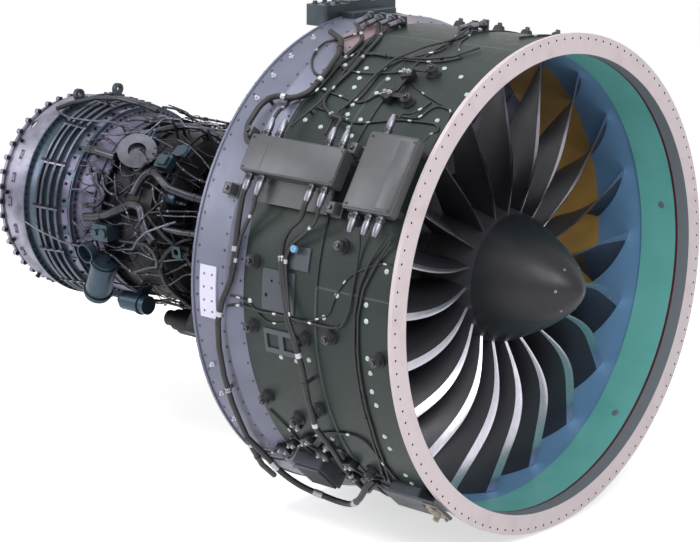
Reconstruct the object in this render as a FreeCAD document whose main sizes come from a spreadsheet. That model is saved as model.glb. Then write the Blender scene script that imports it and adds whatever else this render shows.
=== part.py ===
import FreeCAD, Part
import math
import operator
import os
import Sketcher
from FreeCAD import Placement, Rotation, Vector

# A two-spool geared turbofan, bare of its nacelle. Lengths are in millimetres.
# +X points aft along the shafts, +Z up and +Y to the engine's right-hand side.
# The origin is the centre of the front attach flange's front face.
# A place on the engine is given as (x, angle, radius), the angle in degrees from the top towards +Y.

doc = FreeCAD.newDocument("turbofan")

# ---------------------------------------------------------------- driving dimensions
DIMENSIONS = {
    # front attach flange and fan case
    "flange_outer_radius": 1112,
    "flange_inner_radius": 1021,
    "flange_thickness": 20,
    "flange_bolt_circle": 1090,
    "flange_bolt_radius": 4.5,
    "flange_bolt_count": 120,
    "flange_hub_height": 4,
    "lip_length": 62,
    "seal_length": 13,
    "front_liner_length": 195,
    "rub_strip_length": 258,
    "aft_liner_length": 342,
    "barrel_outer_radius": 1078,
    "barrel_wall": 12,
    "seam_ridge_x": 450,
    "seam_ridge_width": 16,
    "seam_ridge_height": 6,
    "fan_tip_radius": 1029,
    "fan_tip_gap": 4,
    # fan frame
    "frame_length": 288,
    "frame_outer_radius": 1105,
    "frame_skin": 10,
    "frame_lip_height": 6,
    "frame_lip_width": 12,
    "frame_taper_length": 85,
    "hub_ring_radius": 560,
    "hub_ring_skin": 11,
    "splitter_x": 548,
    "splitter_radius": 450,
    "duct_outer_radius": 434,
    "duct_inner_radius": 335,
    "duct_skin": 10,
    "inlet_strut_count": 10,
    "guide_vane_count": 44,
    "guide_vane_chord": 150,
    "guide_vane_thickness": 11,
    # fan
    "blade_count": 20,
    "spinner_base_x": 257,
    "spinner_base_radius": 290,
    "spinner_tip_x": -135,
    "spinner_joint_x": -52,
    "spinner_wall": 6,
    "hub_rear_x": 505,
    "hub_rear_radius": 336,
    "hub_bore_radius": 100,
    "fan_shaft_wall": 20,
    # reduction gear
    "gear_module": 7,
    "ring_teeth": 60,
    "star_teeth": 20,
    "star_count": 5,
    "gear_front_x": 612,
    "gear_width": 78,
    "gear_backlash": 0.35,
    "ring_rim": 27,
    "star_bore_radius": 30,
    "pin_clearance": 0.05,
    "running_gap": 0.3,
    # core
    "low_shaft_radius": 50,
    "low_shaft_wall": 12,
    "low_shaft_rear_x": 3090,
    "high_shaft_radius": 74,
    "high_shaft_wall": 10,
    "booster_rear_x": 985,
    "compressor_front_x": 1325,
    "compressor_rear_x": 2010,
    "compressor_front_radius": 330,
    "compressor_rear_radius": 296,
    "combustor_rear_x": 2330,
    "high_turbine_rear_x": 2480,
    "low_turbine_front_x": 2668,
    "low_turbine_rear_x": 2989,
    "exhaust_rear_x": 3202,
    "case_wall": 10,
    "low_turbine_front_radius": 480,
    "low_turbine_rear_radius": 506,
    "exhaust_flange_radius": 484,
    "exhaust_lug_count": 40,
    "exhaust_strut_count": 12,
    "booster_stages": 3,
    "compressor_stages": 8,
    "low_turbine_stages": 3,
    "row_blades": 30,
    "fuel_nozzle_count": 16,
    # items carried outside
    "isolator_radius": 33,
    "isolator_height": 36,
    "fastener_radius": 11.5,
    "control_unit_length": 535,
    "control_unit_width": 168,
    "control_unit_height": 62,
    "junction_box_length": 262,
    "junction_box_width": 345,
    "junction_box_height": 46,
    "heavy_cable_radius": 13,
    "light_cable_radius": 5,
    "unison_ring_height": 14,
    "unison_gap": 24,
    "vane_pad_count": 24,
    "tower_shaft_radius": 9,
    "lay_shaft_radius": 12,
    "cooling_tube_radius": 9,
}

sheet = doc.addObject("Spreadsheet::Sheet", "Sizes")
for row, (name, number) in enumerate(DIMENSIONS.items(), 1):
    sheet.set(f"A{row}", name)
    sheet.set(f"B{row}", str(number))
    sheet.setAlias(f"B{row}", name)
doc.recompute()


class Size(float):
    """A number together with the rule that works it out from the sheet."""

    def __new__(cls, value, rule):
        made = float.__new__(cls, value)
        made.rule = rule
        return made


def rule_of(number):
    return getattr(number, "rule", repr(float(number)))


def sized(act, sign, swapped):
    def worked(self, other):
        first, second = (other, self) if swapped else (self, other)
        rule = f"({rule_of(first)} {sign} {rule_of(second)})"
        return Size(act(float(first), float(second)), rule)
    return worked


for word, sign in (("add", "+"), ("sub", "-"), ("mul", "*"), ("truediv", "/")):
    act = getattr(operator, word)
    setattr(Size, f"__{word}__", sized(act, sign, False))
    setattr(Size, f"__r{word}__", sized(act, sign, True))


class Sheet:
    """Every cell of the sheet as a Size, under its own name."""

    def __getattr__(self, name):
        return Size(sheet.get(name), f"Sizes.{name}")


size = Sheet()
parts = []
AXIS = Vector(1, 0, 0)
ORIGIN = Vector(0, 0, 0)


# ---------------------------------------------------------------- ways of making a piece
def plane_of(body, role):
    for feature in body.Origin.OriginFeatures:
        if feature.Role == role:
            return feature


def sketch_on(body, role, name):
    sketch = body.newObject("Sketcher::SketchObject", name)
    sketch.AttachmentSupport = [(plane_of(body, role), "")]
    sketch.MapMode = "FlatFace"
    return sketch


def hold(sketch, kind, item, number):
    """Hold a corner at a distance from the sketch's origin, bound to the sheet."""
    place = sketch.addConstraint(Sketcher.Constraint(kind, -1, 1, item, 1, float(number)))
    if isinstance(number, Size):
        sketch.setExpression(f"Constraints[{place}]", number.rule)


def turned(label, outline, keep=True):
    """A body turned about the engine's axis from an outline of (x, radius) corners."""
    body = doc.addObject("PartDesign::Body", label)
    body.Label = label
    sketch = sketch_on(body, "XZ_Plane", label + "_section")
    corners = [Vector(x, radius, 0) for x, radius in outline]
    count = len(corners)
    sides = [Part.LineSegment(corners[i], corners[(i + 1) % count]) for i in range(count)]
    sketch.addGeometry(sides, False)
    for i in range(count):
        sketch.addConstraint(Sketcher.Constraint("Coincident", i, 2, (i + 1) % count, 1))
    for i, (x, radius) in enumerate(outline):
        hold(sketch, "DistanceX", i, x)
        hold(sketch, "DistanceY", i, radius)
    turn = body.newObject("PartDesign::Revolution", label + "_turn")
    turn.Profile = sketch
    turn.ReferenceAxis = (sketch, ["H_Axis"])
    turn.Angle = 360
    sketch.Visibility = False
    if keep:
        parts.append(body)
    return body


def drilled(body, count, circle, radius, depth):
    """Drill a circle of equal holes from the body's front face, along the axis."""
    sketch = sketch_on(body, "YZ_Plane", body.Label + "_hole")
    sketch.addGeometry(Part.Circle(Vector(0, circle, 0), Vector(0, 0, 1), radius), False)
    across = sketch.addConstraint(Sketcher.Constraint("DistanceX", -1, 1, 0, 3, 0.0))
    up = sketch.addConstraint(Sketcher.Constraint("DistanceY", -1, 1, 0, 3, float(circle)))
    round_size = sketch.addConstraint(Sketcher.Constraint("Radius", 0, float(radius)))
    sketch.setExpression(f"Constraints[{up}]", circle.rule)
    sketch.setExpression(f"Constraints[{round_size}]", radius.rule)
    sketch.renameConstraint(across, "on_the_plumb_line")
    hole = body.newObject("PartDesign::Pocket", body.Label + "_holes")
    hole.Profile = sketch
    hole.Reversed = True
    hole.setExpression("Length", depth.rule)
    ring = body.newObject("PartDesign::PolarPattern", body.Label + "_hole_circle")
    ring.Originals = [hole]
    ring.Axis = (sketch, ["N_Axis"])
    ring.Angle = 360
    ring.setExpression("Occurrences", count.rule)
    body.Tip = ring
    return body


def shaped(label, shape, keep=True):
    """A piece, or a group of like pieces, from finished shapes."""
    piece = doc.addObject("Part::Feature", label)
    piece.Label = label
    piece.Shape = Part.makeCompound(shape) if isinstance(shape, list) else shape
    if keep:
        parts.append(piece)
    return piece


def at(x, angle, radius):
    turn = math.radians(angle)
    return Vector(x, radius * math.sin(turn), radius * math.cos(turn))


def seat(x, angle, radius):
    """A place on the engine: own x aft, own y round towards +Y, own z outwards."""
    return Placement(at(x, angle, radius), Rotation(AXIS, -angle))


def face_of(points):
    return Part.Face(Part.makePolygon([*points, points[0]]))


def ring(outline):
    """A plain solid turned about the axis from (x, radius) corners."""
    solid = face_of([Vector(x, 0, radius) for x, radius in outline]).revolve(ORIGIN, AXIS, 360)
    return upright(solid)


def upright(solid):
    if solid.Volume < 0:
        solid.reverse()
    return solid


def around(shape, count, start=0.0):
    """Equal copies of a shape round the engine's axis."""
    copies = []
    for i in range(int(count)):
        copy = shape.copy()
        copy.rotate(ORIGIN, AXIS, -(start + 360.0 * i / int(count)))
        copies.append(copy)
    return copies


def placed(shape, x, angle, radius, swing=0.0):
    """Put a shape made on the plane z = 0 on the engine, swung about its own z first."""
    copy = shape.copy()
    swung = Placement(ORIGIN, Rotation(Vector(0, 0, 1), swing))
    copy.Placement = seat(x, angle, radius).multiply(swung).multiply(shape.Placement)
    return copy


def block(length, width, height, edge=0.0, base=0.0):
    """A box centred on its own z axis that stands on z = base, its upright edges rounded."""
    solid = Part.makeBox(length, width, height, Vector(-length / 2, -width / 2, base))
    if edge:
        uprights = [e for e in solid.Edges if abs(e.tangentAt(e.FirstParameter).z) > 0.9]
        solid = solid.makeFillet(edge, uprights)
    return solid


def stem(radius, height, base=0.0):
    return Part.makeCylinder(radius, height, Vector(0, 0, base))


def fused(shapes):
    whole = shapes[0].fuse(shapes[1:])
    return whole.removeSplitter()


def strut(x, chord, thickness, inner, outer, lean=0.0):
    """One radial aerofoil strut at the top, between two (outline) radii, leaned about its own z."""
    nose, tail = x, x + chord
    half = thickness / 2
    points = [Vector(nose, 0, 0), Vector(nose + chord * 0.08, half * 0.75, 0)]
    points += [Vector(nose + chord * 0.35, half, 0), Vector(tail, half * 0.12, 0)]
    points += [Vector(tail, -half * 0.12, 0), Vector(nose + chord * 0.35, -half, 0)]
    points += [Vector(nose + chord * 0.08, -half * 0.75, 0)]
    solid = face_of(points).extrude(Vector(0, 0, outer - inner))
    solid.rotate(Vector(x + chord / 2, 0, 0), Vector(0, 0, 1), lean)
    solid.translate(Vector(0, 0, inner))
    return upright(solid)


def trimmed_row(x, chord, thickness, lean, outline, count, start=0.0):
    """A row of aerofoils whose ends follow the ring outline that holds them."""
    inner = min(radius for place, radius in outline) * 0.97
    outer = max(radius for place, radius in outline) * 1.02
    vane = strut(x, chord, thickness, inner, outer, lean).common(ring(outline))
    return around(vane.Solids[0], count, start)


def route(points, bend):
    """A path of straight runs joined by tangent arcs through the given points."""
    edges = []
    last = points[0]
    for i in range(1, len(points) - 1):
        before, corner, after = points[i - 1], points[i], points[i + 1]
        into = (corner - before).normalize()
        out = (after - corner).normalize()
        turn = into.getAngle(out)
        if turn < 0.02:
            continue
        room = 0.45 * min(corner.distanceToPoint(before), corner.distanceToPoint(after))
        cut = min(room, bend * math.tan(turn / 2))
        start = corner - into * cut
        end = corner + out * cut
        radius = cut / math.tan(turn / 2)
        inward = (out - into).normalize()
        middle = corner + inward * (radius / math.cos(turn / 2) - radius)
        edges.append(Part.makeLine(last, start))
        edges.append(Part.Arc(start, middle, end).toShape())
        last = end
    edges.append(Part.makeLine(last, points[-1]))
    return Part.Wire(edges)


def tube(points, radius, bend=None):
    """A round pipe or cable along a route."""
    path = route(points, bend or radius * 8)
    section = Part.Wire(Part.makeCircle(radius, points[0], points[1] - points[0]))
    return upright(path.makePipeShell([section], True, False))


def hugging(stations, step=11.0):
    """Points (x, angle, radius) round the engine, with extra ones where they stand far apart."""
    points = [stations[0]]
    for near, far in zip(stations, stations[1:]):
        share = max(1, math.ceil(abs(far[1] - near[1]) / step))
        for k in range(1, share + 1):
            points.append(tuple(a + (b - a) * k / share for a, b in zip(near, far)))
    return [at(*point) for point in points]


# ---------------------------------------------------------------- front flange and fan case
flange_out = size.flange_outer_radius
flange_in = size.flange_inner_radius
barrel_out = size.barrel_outer_radius
barrel_in = barrel_out - size.barrel_wall
flange_rear = size.flange_thickness
lip_rear = size.lip_length
seal_rear = lip_rear + size.seal_length
liner_rear = seal_rear + size.front_liner_length
strip_rear = liner_rear + size.rub_strip_length
barrel_rear = strip_rear + size.aft_liner_length
frame_rear = barrel_rear + size.frame_length
bypass_radius = size.fan_tip_radius + size.fan_tip_gap

inlet_flange = turned("inlet_flange", [
    (0, flange_in),
    (0, flange_out),
    (flange_rear, flange_out),
    (flange_rear, barrel_out + size.flange_hub_height),
    (flange_rear, barrel_in),
    (lip_rear, barrel_in),
    (lip_rear, flange_in),
])
drilled(inlet_flange, size.flange_bolt_count, size.flange_bolt_circle, size.flange_bolt_radius, flange_rear)

ridge_front = size.seam_ridge_x - size.seam_ridge_width / 2
ridge_rear = size.seam_ridge_x + size.seam_ridge_width / 2
ridge_top = barrel_out + size.seam_ridge_height
turned("fan_case_barrel", [
    (flange_rear, barrel_in),
    (flange_rear, barrel_out + size.flange_hub_height),
    (flange_rear * 2, barrel_out),
    (ridge_front, barrel_out),
    (ridge_front, ridge_top),
    (ridge_rear, ridge_top),
    (ridge_rear, barrel_out),
    (barrel_rear, barrel_out),
    (barrel_rear, barrel_in),
])


def lining(label, front, rear, bore):
    return turned(label, [(front, bore), (front, barrel_in), (rear, barrel_in), (rear, bore)])


liner_bore = flange_in + 3
lining("lip_seal", lip_rear, seal_rear, flange_in + 1)
lining("front_liner", seal_rear, liner_rear, liner_bore)
lining("fan_rub_strip", liner_rear, strip_rear, bypass_radius)
lining("aft_liner", strip_rear, barrel_rear, bypass_radius)

frame_out = size.frame_outer_radius
skin = size.frame_skin
taper_rear = barrel_rear + size.frame_taper_length
turned("fan_frame_ring", [
    (barrel_rear, bypass_radius),
    (barrel_rear, barrel_out),
    (taper_rear, frame_out),
    (frame_rear - size.frame_lip_width, frame_out),
    (frame_rear - size.frame_lip_width, frame_out + size.frame_lip_height),
    (frame_rear, frame_out + size.frame_lip_height),
    (frame_rear, frame_out - skin),
    (taper_rear, frame_out - skin),
    (barrel_rear + skin * 1.5, barrel_out - skin),
    (barrel_rear + skin * 1.5, bypass_radius + skin),
    (frame_rear, bypass_radius + skin),
    (frame_rear, bypass_radius),
])

# ---------------------------------------------------------------- splitter, struts and guide vanes
hub_ring = size.hub_ring_radius
hub_skin = size.hub_ring_skin
split_x = size.splitter_x
split_r = size.splitter_radius
duct_out = size.duct_outer_radius
duct_in = size.duct_inner_radius
duct_skin = size.duct_skin
vane_front = barrel_rear + 20
booster_front = size.gear_front_x + size.gear_width + 45

splitter = turned("splitter", [
    (split_x, split_r),
    (split_x + 150, (split_r + hub_ring) / 2 + 20),
    (split_x + 272, hub_ring),
    (frame_rear, hub_ring),
    (frame_rear, hub_ring - hub_skin),
    (split_x + 276, hub_ring - hub_skin),
    (split_x + 158, (split_r + hub_ring) / 2 + 8),
    (split_x + 92, duct_out + duct_skin + 22),
    (split_x + 92, duct_out + duct_skin),
    (booster_front, duct_out + duct_skin),
    (booster_front, duct_out),
    (split_x + 72, duct_out + 6),
    (split_x, split_r - 4),
], keep=False)
inner_wall = turned("core_inlet_wall", [
    (size.hub_rear_x + 5, duct_in + 6),
    (booster_front, duct_in),
    (booster_front, duct_in - duct_skin),
    (size.hub_rear_x + 5, duct_in - duct_skin),
], keep=False)
inlet_strut = strut(split_x + 62, 100, 14, duct_in - 6, duct_out + 7)
inlet_struts = shaped("inlet_struts", around(inlet_strut, size.inlet_strut_count, 18), keep=False)
frame_hub = doc.addObject("Part::MultiFuse", "fan_frame_hub")
frame_hub.Label = "fan_frame_hub"
frame_hub.Shapes = [splitter, inner_wall, inlet_struts]
parts.append(frame_hub)

shaped("exit_guide_vanes", trimmed_row(
    vane_front, size.guide_vane_chord, size.guide_vane_thickness, 14,
    [(barrel_rear, hub_ring), (frame_rear, hub_ring), (frame_rear, bypass_radius),
     (barrel_rear, bypass_radius)], size.guide_vane_count))

# ---------------------------------------------------------------- fan
spinner_base = size.spinner_base_x
spinner_r = size.spinner_base_radius
nose_x = size.spinner_tip_x
joint_x = size.spinner_joint_x
spinner_length = spinner_base - nose_x


def spinner_radius(x, inset=0.0):
    """The spinner's profile: an ogive that leaves its base almost level."""
    share = max(0.0, (x - nose_x) / spinner_length)
    return spinner_r * share ** 0.62 * (1.09 - 0.09 * share) - inset


def spinner_shell(front, rear, wall):
    """A spinner shell between two stations, open at the rear."""
    steps = 9
    outer = [front + (rear - front) * (k / steps) ** 1.4 for k in range(steps + 1)]
    skin_line = [Vector(x, 0, spinner_radius(x)) for x in outer]
    inner_line = [Vector(x, 0, max(0.0, spinner_radius(x, wall))) for x in reversed(outer)]
    edges = []
    if skin_line[0].z > 1e-6:
        edges.append(Part.makeLine(inner_line[-1], skin_line[0]))
        inside = inner_line
    else:
        hollow_front = front + wall * 2
        inside = [p for p in inner_line if p.x > hollow_front] + [Vector(hollow_front, 0, 0)]
        edges.append(Part.makeLine(inside[-1], skin_line[0]))
    for line in (skin_line, inside):
        curve = Part.BSplineCurve()
        curve.interpolate(line)
        edges.append(curve.toShape())
        if line is skin_line:
            edges.append(Part.makeLine(skin_line[-1], inside[0]))
    face = Part.Face(Part.Wire(Part.__sortEdges__(edges)))
    return upright(face.revolve(ORIGIN, AXIS, 360))


shaped("spinner_tip", spinner_shell(nose_x, joint_x, size.spinner_wall))
shaped("spinner", spinner_shell(joint_x, spinner_base, size.spinner_wall))

hub_rear = size.hub_rear_x
hub_rear_r = size.hub_rear_radius
bore = size.hub_bore_radius
turned("fan_hub", [
    (spinner_base, spinner_r - 30),
    (spinner_base, spinner_r),
    (hub_rear, hub_rear_r),
    (hub_rear, hub_rear_r - 28),
    (hub_rear - 90, hub_rear_r - 46),
    (hub_rear - 90, bore + 60),
    (hub_rear - 25, bore + 40),
    (hub_rear - 25, bore),
    (spinner_base + 50, bore),
    (spinner_base + 50, bore + 40),
    (spinner_base + 95, bore + 60),
    (spinner_base + 95, spinner_r - 18),
])

# Blade stations from below the root to beyond the tip: share of the span, leading edge (x, sideways),
# trailing edge (x, sideways), thickness, share of the chord under the sheath. The blade sweeps forward
# at mid span, and twists from nearly along the axis at the root to nearly across it at the tip.
BLADE_STATIONS = [
    (-0.045, 288, 6, 500, -9, 26, 0.05),
    (0.149, 245, 44, 497, -5, 21, 0.06),
    (0.325, 223, 73, 493, -16, 17, 0.09),
    (0.555, 243, 90, 496, -44, 13, 0.125),
    (0.758, 289, 83, 508, -107, 10, 0.135),
    (0.965, 341, 73, 531, -195, 7, 0.13),
    (1.025, 354, 66, 540, -228, 6, 0.13),
]
tip_r = size.fan_tip_radius


def section_points(station, shares, side):
    """Points on one side of a blade section, at shares of its chord."""
    share, lead_x, lead_y, tail_x, tail_y, thickness = station[:-1]
    height = spinner_r + share * (tip_r - spinner_r)
    chord = Vector(tail_x - lead_x, tail_y - lead_y, 0)
    across = Vector(-chord.y, chord.x, 0).normalize()
    points = []
    for s in shares:
        camber = 0.24 * s * (1 - s) * chord.Length
        half = thickness * (1.45 * math.sqrt(s) * (1 - s) + 0.18 * s + 0.06 * math.sqrt(s)) / 2
        spot = Vector(lead_x, lead_y, height) + chord * s + across * (side * half - camber)
        points.append(spot)
    return points


def spline(points):
    curve = Part.BSplineCurve()
    curve.interpolate(points)
    return curve.toShape()


def blade_loft(closed_nose):
    """The blade's body, or with its nose closed the sheath that covers its leading edge."""
    wires = []
    for station in BLADE_STATIONS:
        sheathed = station[-1]
        if closed_nose:
            shares = [0.0, sheathed * 0.12, sheathed * 0.41, sheathed]
        else:
            shares = [sheathed, 0.25, 0.5, 0.75, 1.0]
        upper = section_points(station, shares, 1)
        lower = section_points(station, shares, -1)
        edges = [spline(upper), Part.makeLine(upper[-1], lower[-1]), spline(lower)]
        if not closed_nose:
            edges.append(Part.makeLine(lower[0], upper[0]))
        wires.append(Part.Wire(Part.__sortEdges__(edges)))
    return upright(Part.makeLoft(wires, True, False))


def hub_line(x):
    """The hub's outer radius along the axis, carried on past both of its ends."""
    return spinner_r + (hub_rear_r - spinner_r) * (x - spinner_base) / (hub_rear - spinner_base)


blade_room = ring([
    (spinner_base - 80, hub_line(spinner_base - 80)),
    (hub_rear + 40, hub_line(hub_rear + 40)),
    (hub_rear + 40, tip_r),
    (spinner_base - 80, tip_r),
])
blade_lead = 15.6
blade = blade_loft(False).common(blade_room)
sheath = blade_loft(True).common(blade_room)
shaped("fan_blades", around(blade.Solids[0], size.blade_count, blade_lead))
shaped("blade_edges", around(sheath.Solids[0], size.blade_count, blade_lead))

# ---------------------------------------------------------------- reduction gear
PRESSURE_ANGLE = math.radians(20)
module = float(size.gear_module)
gear_front = size.gear_front_x
gear_rear = gear_front + size.gear_width
star_pitch = size.gear_module * size.star_teeth / 2
ring_pitch = size.gear_module * size.ring_teeth / 2
sun_teeth = size.ring_teeth - size.star_teeth * 2
sun_pitch = size.gear_module * sun_teeth / 2
ring_root = ring_pitch + size.gear_module * 1.25
ring_rim = ring_root + size.ring_rim
star_circle = sun_pitch + star_pitch


def gear_outline(teeth, tip, root, wider, turn=0.0):
    """The outline of a spur gear in the plane x = 0: its involute flanks in short straights."""
    pitch = module * teeth / 2
    base = pitch * math.cos(PRESSURE_ANGLE)
    involute = math.tan(PRESSURE_ANGLE) - PRESSURE_ANGLE
    corners = []
    foot = max(base, root)
    radii = [foot + (tip - foot) * k / 4 for k in range(5)]
    for tooth in range(int(teeth)):
        middle = math.radians(turn) + 2 * math.pi * tooth / teeth
        flank = []
        for radius in radii:
            slope = math.acos(min(1.0, base / radius))
            half = math.pi / 2 / teeth + involute - (math.tan(slope) - slope) + wider / 2 / pitch
            flank.append((radius, half))
        if root < foot:
            flank.insert(0, (root, flank[0][1]))
        corners += [(radius, middle - half) for radius, half in flank]
        corners += [(radius, middle + half) for radius, half in reversed(flank)]
    return [Vector(0, radius * math.sin(angle), radius * math.cos(angle)) for radius, angle in corners]


def spur(teeth, bore_radius, turn=0.0):
    pitch = module * teeth / 2
    outline = gear_outline(teeth, pitch + module, pitch - 1.25 * module, -size.gear_backlash / 2, turn)
    blank = Part.Face([Part.makePolygon([*outline, outline[0]]),
                       Part.Wire(Part.makeCircle(bore_radius, ORIGIN, AXIS))])
    wheel = blank.extrude(Vector(size.gear_width, 0, 0))
    wheel.translate(Vector(gear_front, 0, 0))
    return upright(wheel)


drum_front = gear_front - 37
fan_shaft_in = bore - size.fan_shaft_wall
fan_shaft = turned("fan_shaft_turning", [
    (spinner_base + 40, fan_shaft_in),
    (spinner_base + 40, bore),
    (hub_rear + 5, bore),
    (hub_rear + 5, bore + 12),
    (drum_front, bore + 12),
    (drum_front, ring_rim),
    (gear_front, ring_rim),
    (gear_front, ring_root),
    (drum_front + 12, ring_root),
    (drum_front + 12, fan_shaft_in),
], keep=False)
space_outline = gear_outline(size.ring_teeth, float(ring_root), float(ring_pitch) - module,
                             size.gear_backlash / 2, 180 / size.ring_teeth)
ring_blank = Part.Face([Part.Wire(Part.makeCircle(ring_rim, ORIGIN, AXIS)),
                        Part.makePolygon([*space_outline, space_outline[0]])])
ring_gear_shape = upright(ring_blank.extrude(Vector(size.gear_width, 0, 0)))
ring_gear_shape.translate(Vector(gear_front, 0, 0))
ring_gear = shaped("ring_gear_teeth", ring_gear_shape, keep=False)
drive_shaft = doc.addObject("Part::MultiFuse", "fan_drive_shaft")
drive_shaft.Label = "fan_drive_shaft"
drive_shaft.Shapes = [fan_shaft, ring_gear]
parts.append(drive_shaft)

for number in range(int(size.star_count)):
    angle = 360 / int(size.star_count) * number
    star = spur(size.star_teeth, size.star_bore_radius, angle + 180 / size.star_teeth)
    star.translate(at(0, angle, star_circle))
    shaped(f"star_gear_{number + 1}", star)
shaped("sun_gear", spur(sun_teeth, size.low_shaft_radius))

carrier_front = gear_rear + 10
carrier_plate = ring([
    (carrier_front, size.low_shaft_radius + 10),
    (carrier_front, star_circle + 45),
    (carrier_front + 6, duct_in - duct_skin),
    (carrier_front + 18, duct_in - duct_skin),
    (carrier_front + 18, size.low_shaft_radius + 10),
])
star_pin = Part.makeCylinder(size.star_bore_radius - size.pin_clearance, carrier_front - gear_front + 10,
                             at(gear_front - 6, 0, star_circle), AXIS)
shaped("gear_carrier", fused([carrier_plate, *around(star_pin, size.star_count)]))

bearing_out = bore + 12 + 26
turned("fan_bearing_support", [
    (hub_rear + 10, bearing_out),
    (hub_rear + 10, bearing_out + 14),
    (hub_rear + 25, bearing_out + 30),
    (hub_rear + 25, duct_in - duct_skin),
    (hub_rear + 37, duct_in - duct_skin),
    (hub_rear + 37, bearing_out + 30),
    (hub_rear + 55, bearing_out + 14),
    (hub_rear + 55, bearing_out),
])

# ---------------------------------------------------------------- core cases
wall = size.case_wall
booster_rear = size.booster_rear_x
hpc_front = size.compressor_front_x
hpc_rear = size.compressor_rear_x
burner_rear = size.combustor_rear_x
hpt_rear = size.high_turbine_rear_x
lpt_front = size.low_turbine_front_x
lpt_rear = size.low_turbine_rear_x
exit_rear = size.exhaust_rear_x
booster_exit_r = duct_out - 22
hpc_front_r = size.compressor_front_radius
hpc_rear_r = size.compressor_rear_radius
FLANGE_HEIGHT = 16
FLANGE_HALF = 8
burner_r = 432
hpt_bore = 400
frame_bore = 440
lpt_front_r = size.low_turbine_front_radius
lpt_rear_r = size.low_turbine_rear_radius


def case(label, front, rear, front_bore, rear_bore, front_flange=FLANGE_HEIGHT, rear_flange=FLANGE_HEIGHT,
         ribs=(), keep=True):
    """A conical case with an outward flange at each end and any ribs (x, height) between."""
    slope = (rear_bore - front_bore) / (rear - front)

    def skin_at(x):
        return front_bore + wall + (x - front) * slope

    outline = [(front, front_bore), (front, front_bore + wall + front_flange)]
    outline.append((front + FLANGE_HALF, front_bore + wall + front_flange))
    outline.append((front + FLANGE_HALF, skin_at(front + FLANGE_HALF)))
    for x, height, width in ribs:
        outline.append((x - width / 2, skin_at(x - width / 2)))
        outline.append((x - width / 2, skin_at(x) + height))
        outline.append((x + width / 2, skin_at(x) + height))
        outline.append((x + width / 2, skin_at(x + width / 2)))
    outline.append((rear - FLANGE_HALF, skin_at(rear - FLANGE_HALF)))
    outline.append((rear - FLANGE_HALF, rear_bore + wall + rear_flange))
    outline.append((rear, rear_bore + wall + rear_flange))
    outline.append((rear, rear_bore))
    return turned(label, outline, keep)


case("booster_case", booster_front, booster_rear, duct_out, booster_exit_r, 10, 12)

box_front = booster_rear + 135
intermediate_duct = turned("intermediate_duct", [
    (booster_rear, booster_exit_r),
    (booster_rear, booster_exit_r + wall + 12),
    (booster_rear + FLANGE_HALF, booster_exit_r + wall + 12),
    (booster_rear + FLANGE_HALF, booster_exit_r + wall),
    (box_front, booster_exit_r - 26 + wall),
    (box_front, hub_ring - hub_skin),
    (box_front + 16, hub_ring - hub_skin),
    (box_front + 16, booster_exit_r - 32 + wall),
    (hpc_front - FLANGE_HALF, hpc_front_r + wall),
    (hpc_front - FLANGE_HALF, hpc_front_r + wall + 20),
    (hpc_front, hpc_front_r + wall + 20),
    (hpc_front, hpc_front_r),
    (box_front, booster_exit_r - 26),
], keep=False)
hub_inner_front = duct_in - 14
compressor_hub_front = 212
bearing_bore = size.low_shaft_radius + 30
high_bearing_bore = size.high_shaft_radius + 30
intermediate_hub = turned("intermediate_hub", [
    (booster_rear, hub_inner_front - 9),
    (booster_rear, hub_inner_front),
    (hpc_front - 10, compressor_hub_front),
    (hpc_front - 10, high_bearing_bore),
    (hpc_front - 50, high_bearing_bore),
    (hpc_front - 50, high_bearing_bore + 12),
    (hpc_front - 22, high_bearing_bore + 30),
    (hpc_front - 22, compressor_hub_front - 10),
    (booster_rear + 75, hub_inner_front - 38),
    (booster_rear + 75, bearing_bore),
    (booster_rear + 35, bearing_bore),
    (booster_rear + 35, bearing_bore + 12),
    (booster_rear + 62, bearing_bore + 24),
    (booster_rear + 62, hub_inner_front - 36),
], keep=False)
tower_x = booster_rear + 205
frame_strut = strut(booster_rear + 110, 190, 34, 262, booster_exit_r - 22)
intermediate_struts = shaped("intermediate_struts", around(frame_strut, 8), keep=False)
intermediate_casting = doc.addObject("Part::MultiFuse", "intermediate_casting")
intermediate_casting.Shapes = [intermediate_duct, intermediate_hub, intermediate_struts]
tower_bore = doc.addObject("Part::Cylinder", "tower_bore")
tower_bore.setExpression("Radius", (size.tower_shaft_radius + size.running_gap).rule)
tower_bore.Height = 300
tower_bore.Placement = Placement(Vector(tower_x, 0, -460), Rotation())
intermediate = doc.addObject("Part::Cut", "intermediate_case")
intermediate.Label = "intermediate_case"
intermediate.Base = intermediate_casting
intermediate.Tool = tower_bore
parts.append(intermediate)

stage_pitch = (hpc_rear - hpc_front - 30) / size.compressor_stages
case_slope = (hpc_rear_r - hpc_front_r) / (hpc_rear - hpc_front)
band_xs = [float(hpc_front + 75 + stage_pitch * k) for k in range(3)]
compressor_shell = case("compressor_shell", hpc_front, hpc_rear, hpc_front_r, hpc_rear_r, 20, 34,
                        [(hpc_front + 300, 16, 14), (hpc_front + 480, 10, 10)], keep=False)
pads = []
for x in band_xs:
    skin_r = float(hpc_front_r + wall + case_slope * (x - hpc_front))
    pad = stem(8, size.unison_gap - size.running_gap + 3)
    pad.translate(Vector(x, 0, skin_r - 3))
    pads += around(pad, size.vane_pad_count, 4)
vane_pads = shaped("vane_pads", pads, keep=False)
compressor_case = doc.addObject("Part::MultiFuse", "compressor_case")
compressor_case.Label = "compressor_case"
compressor_case.Shapes = [compressor_shell, vane_pads]
parts.append(compressor_case)

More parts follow.
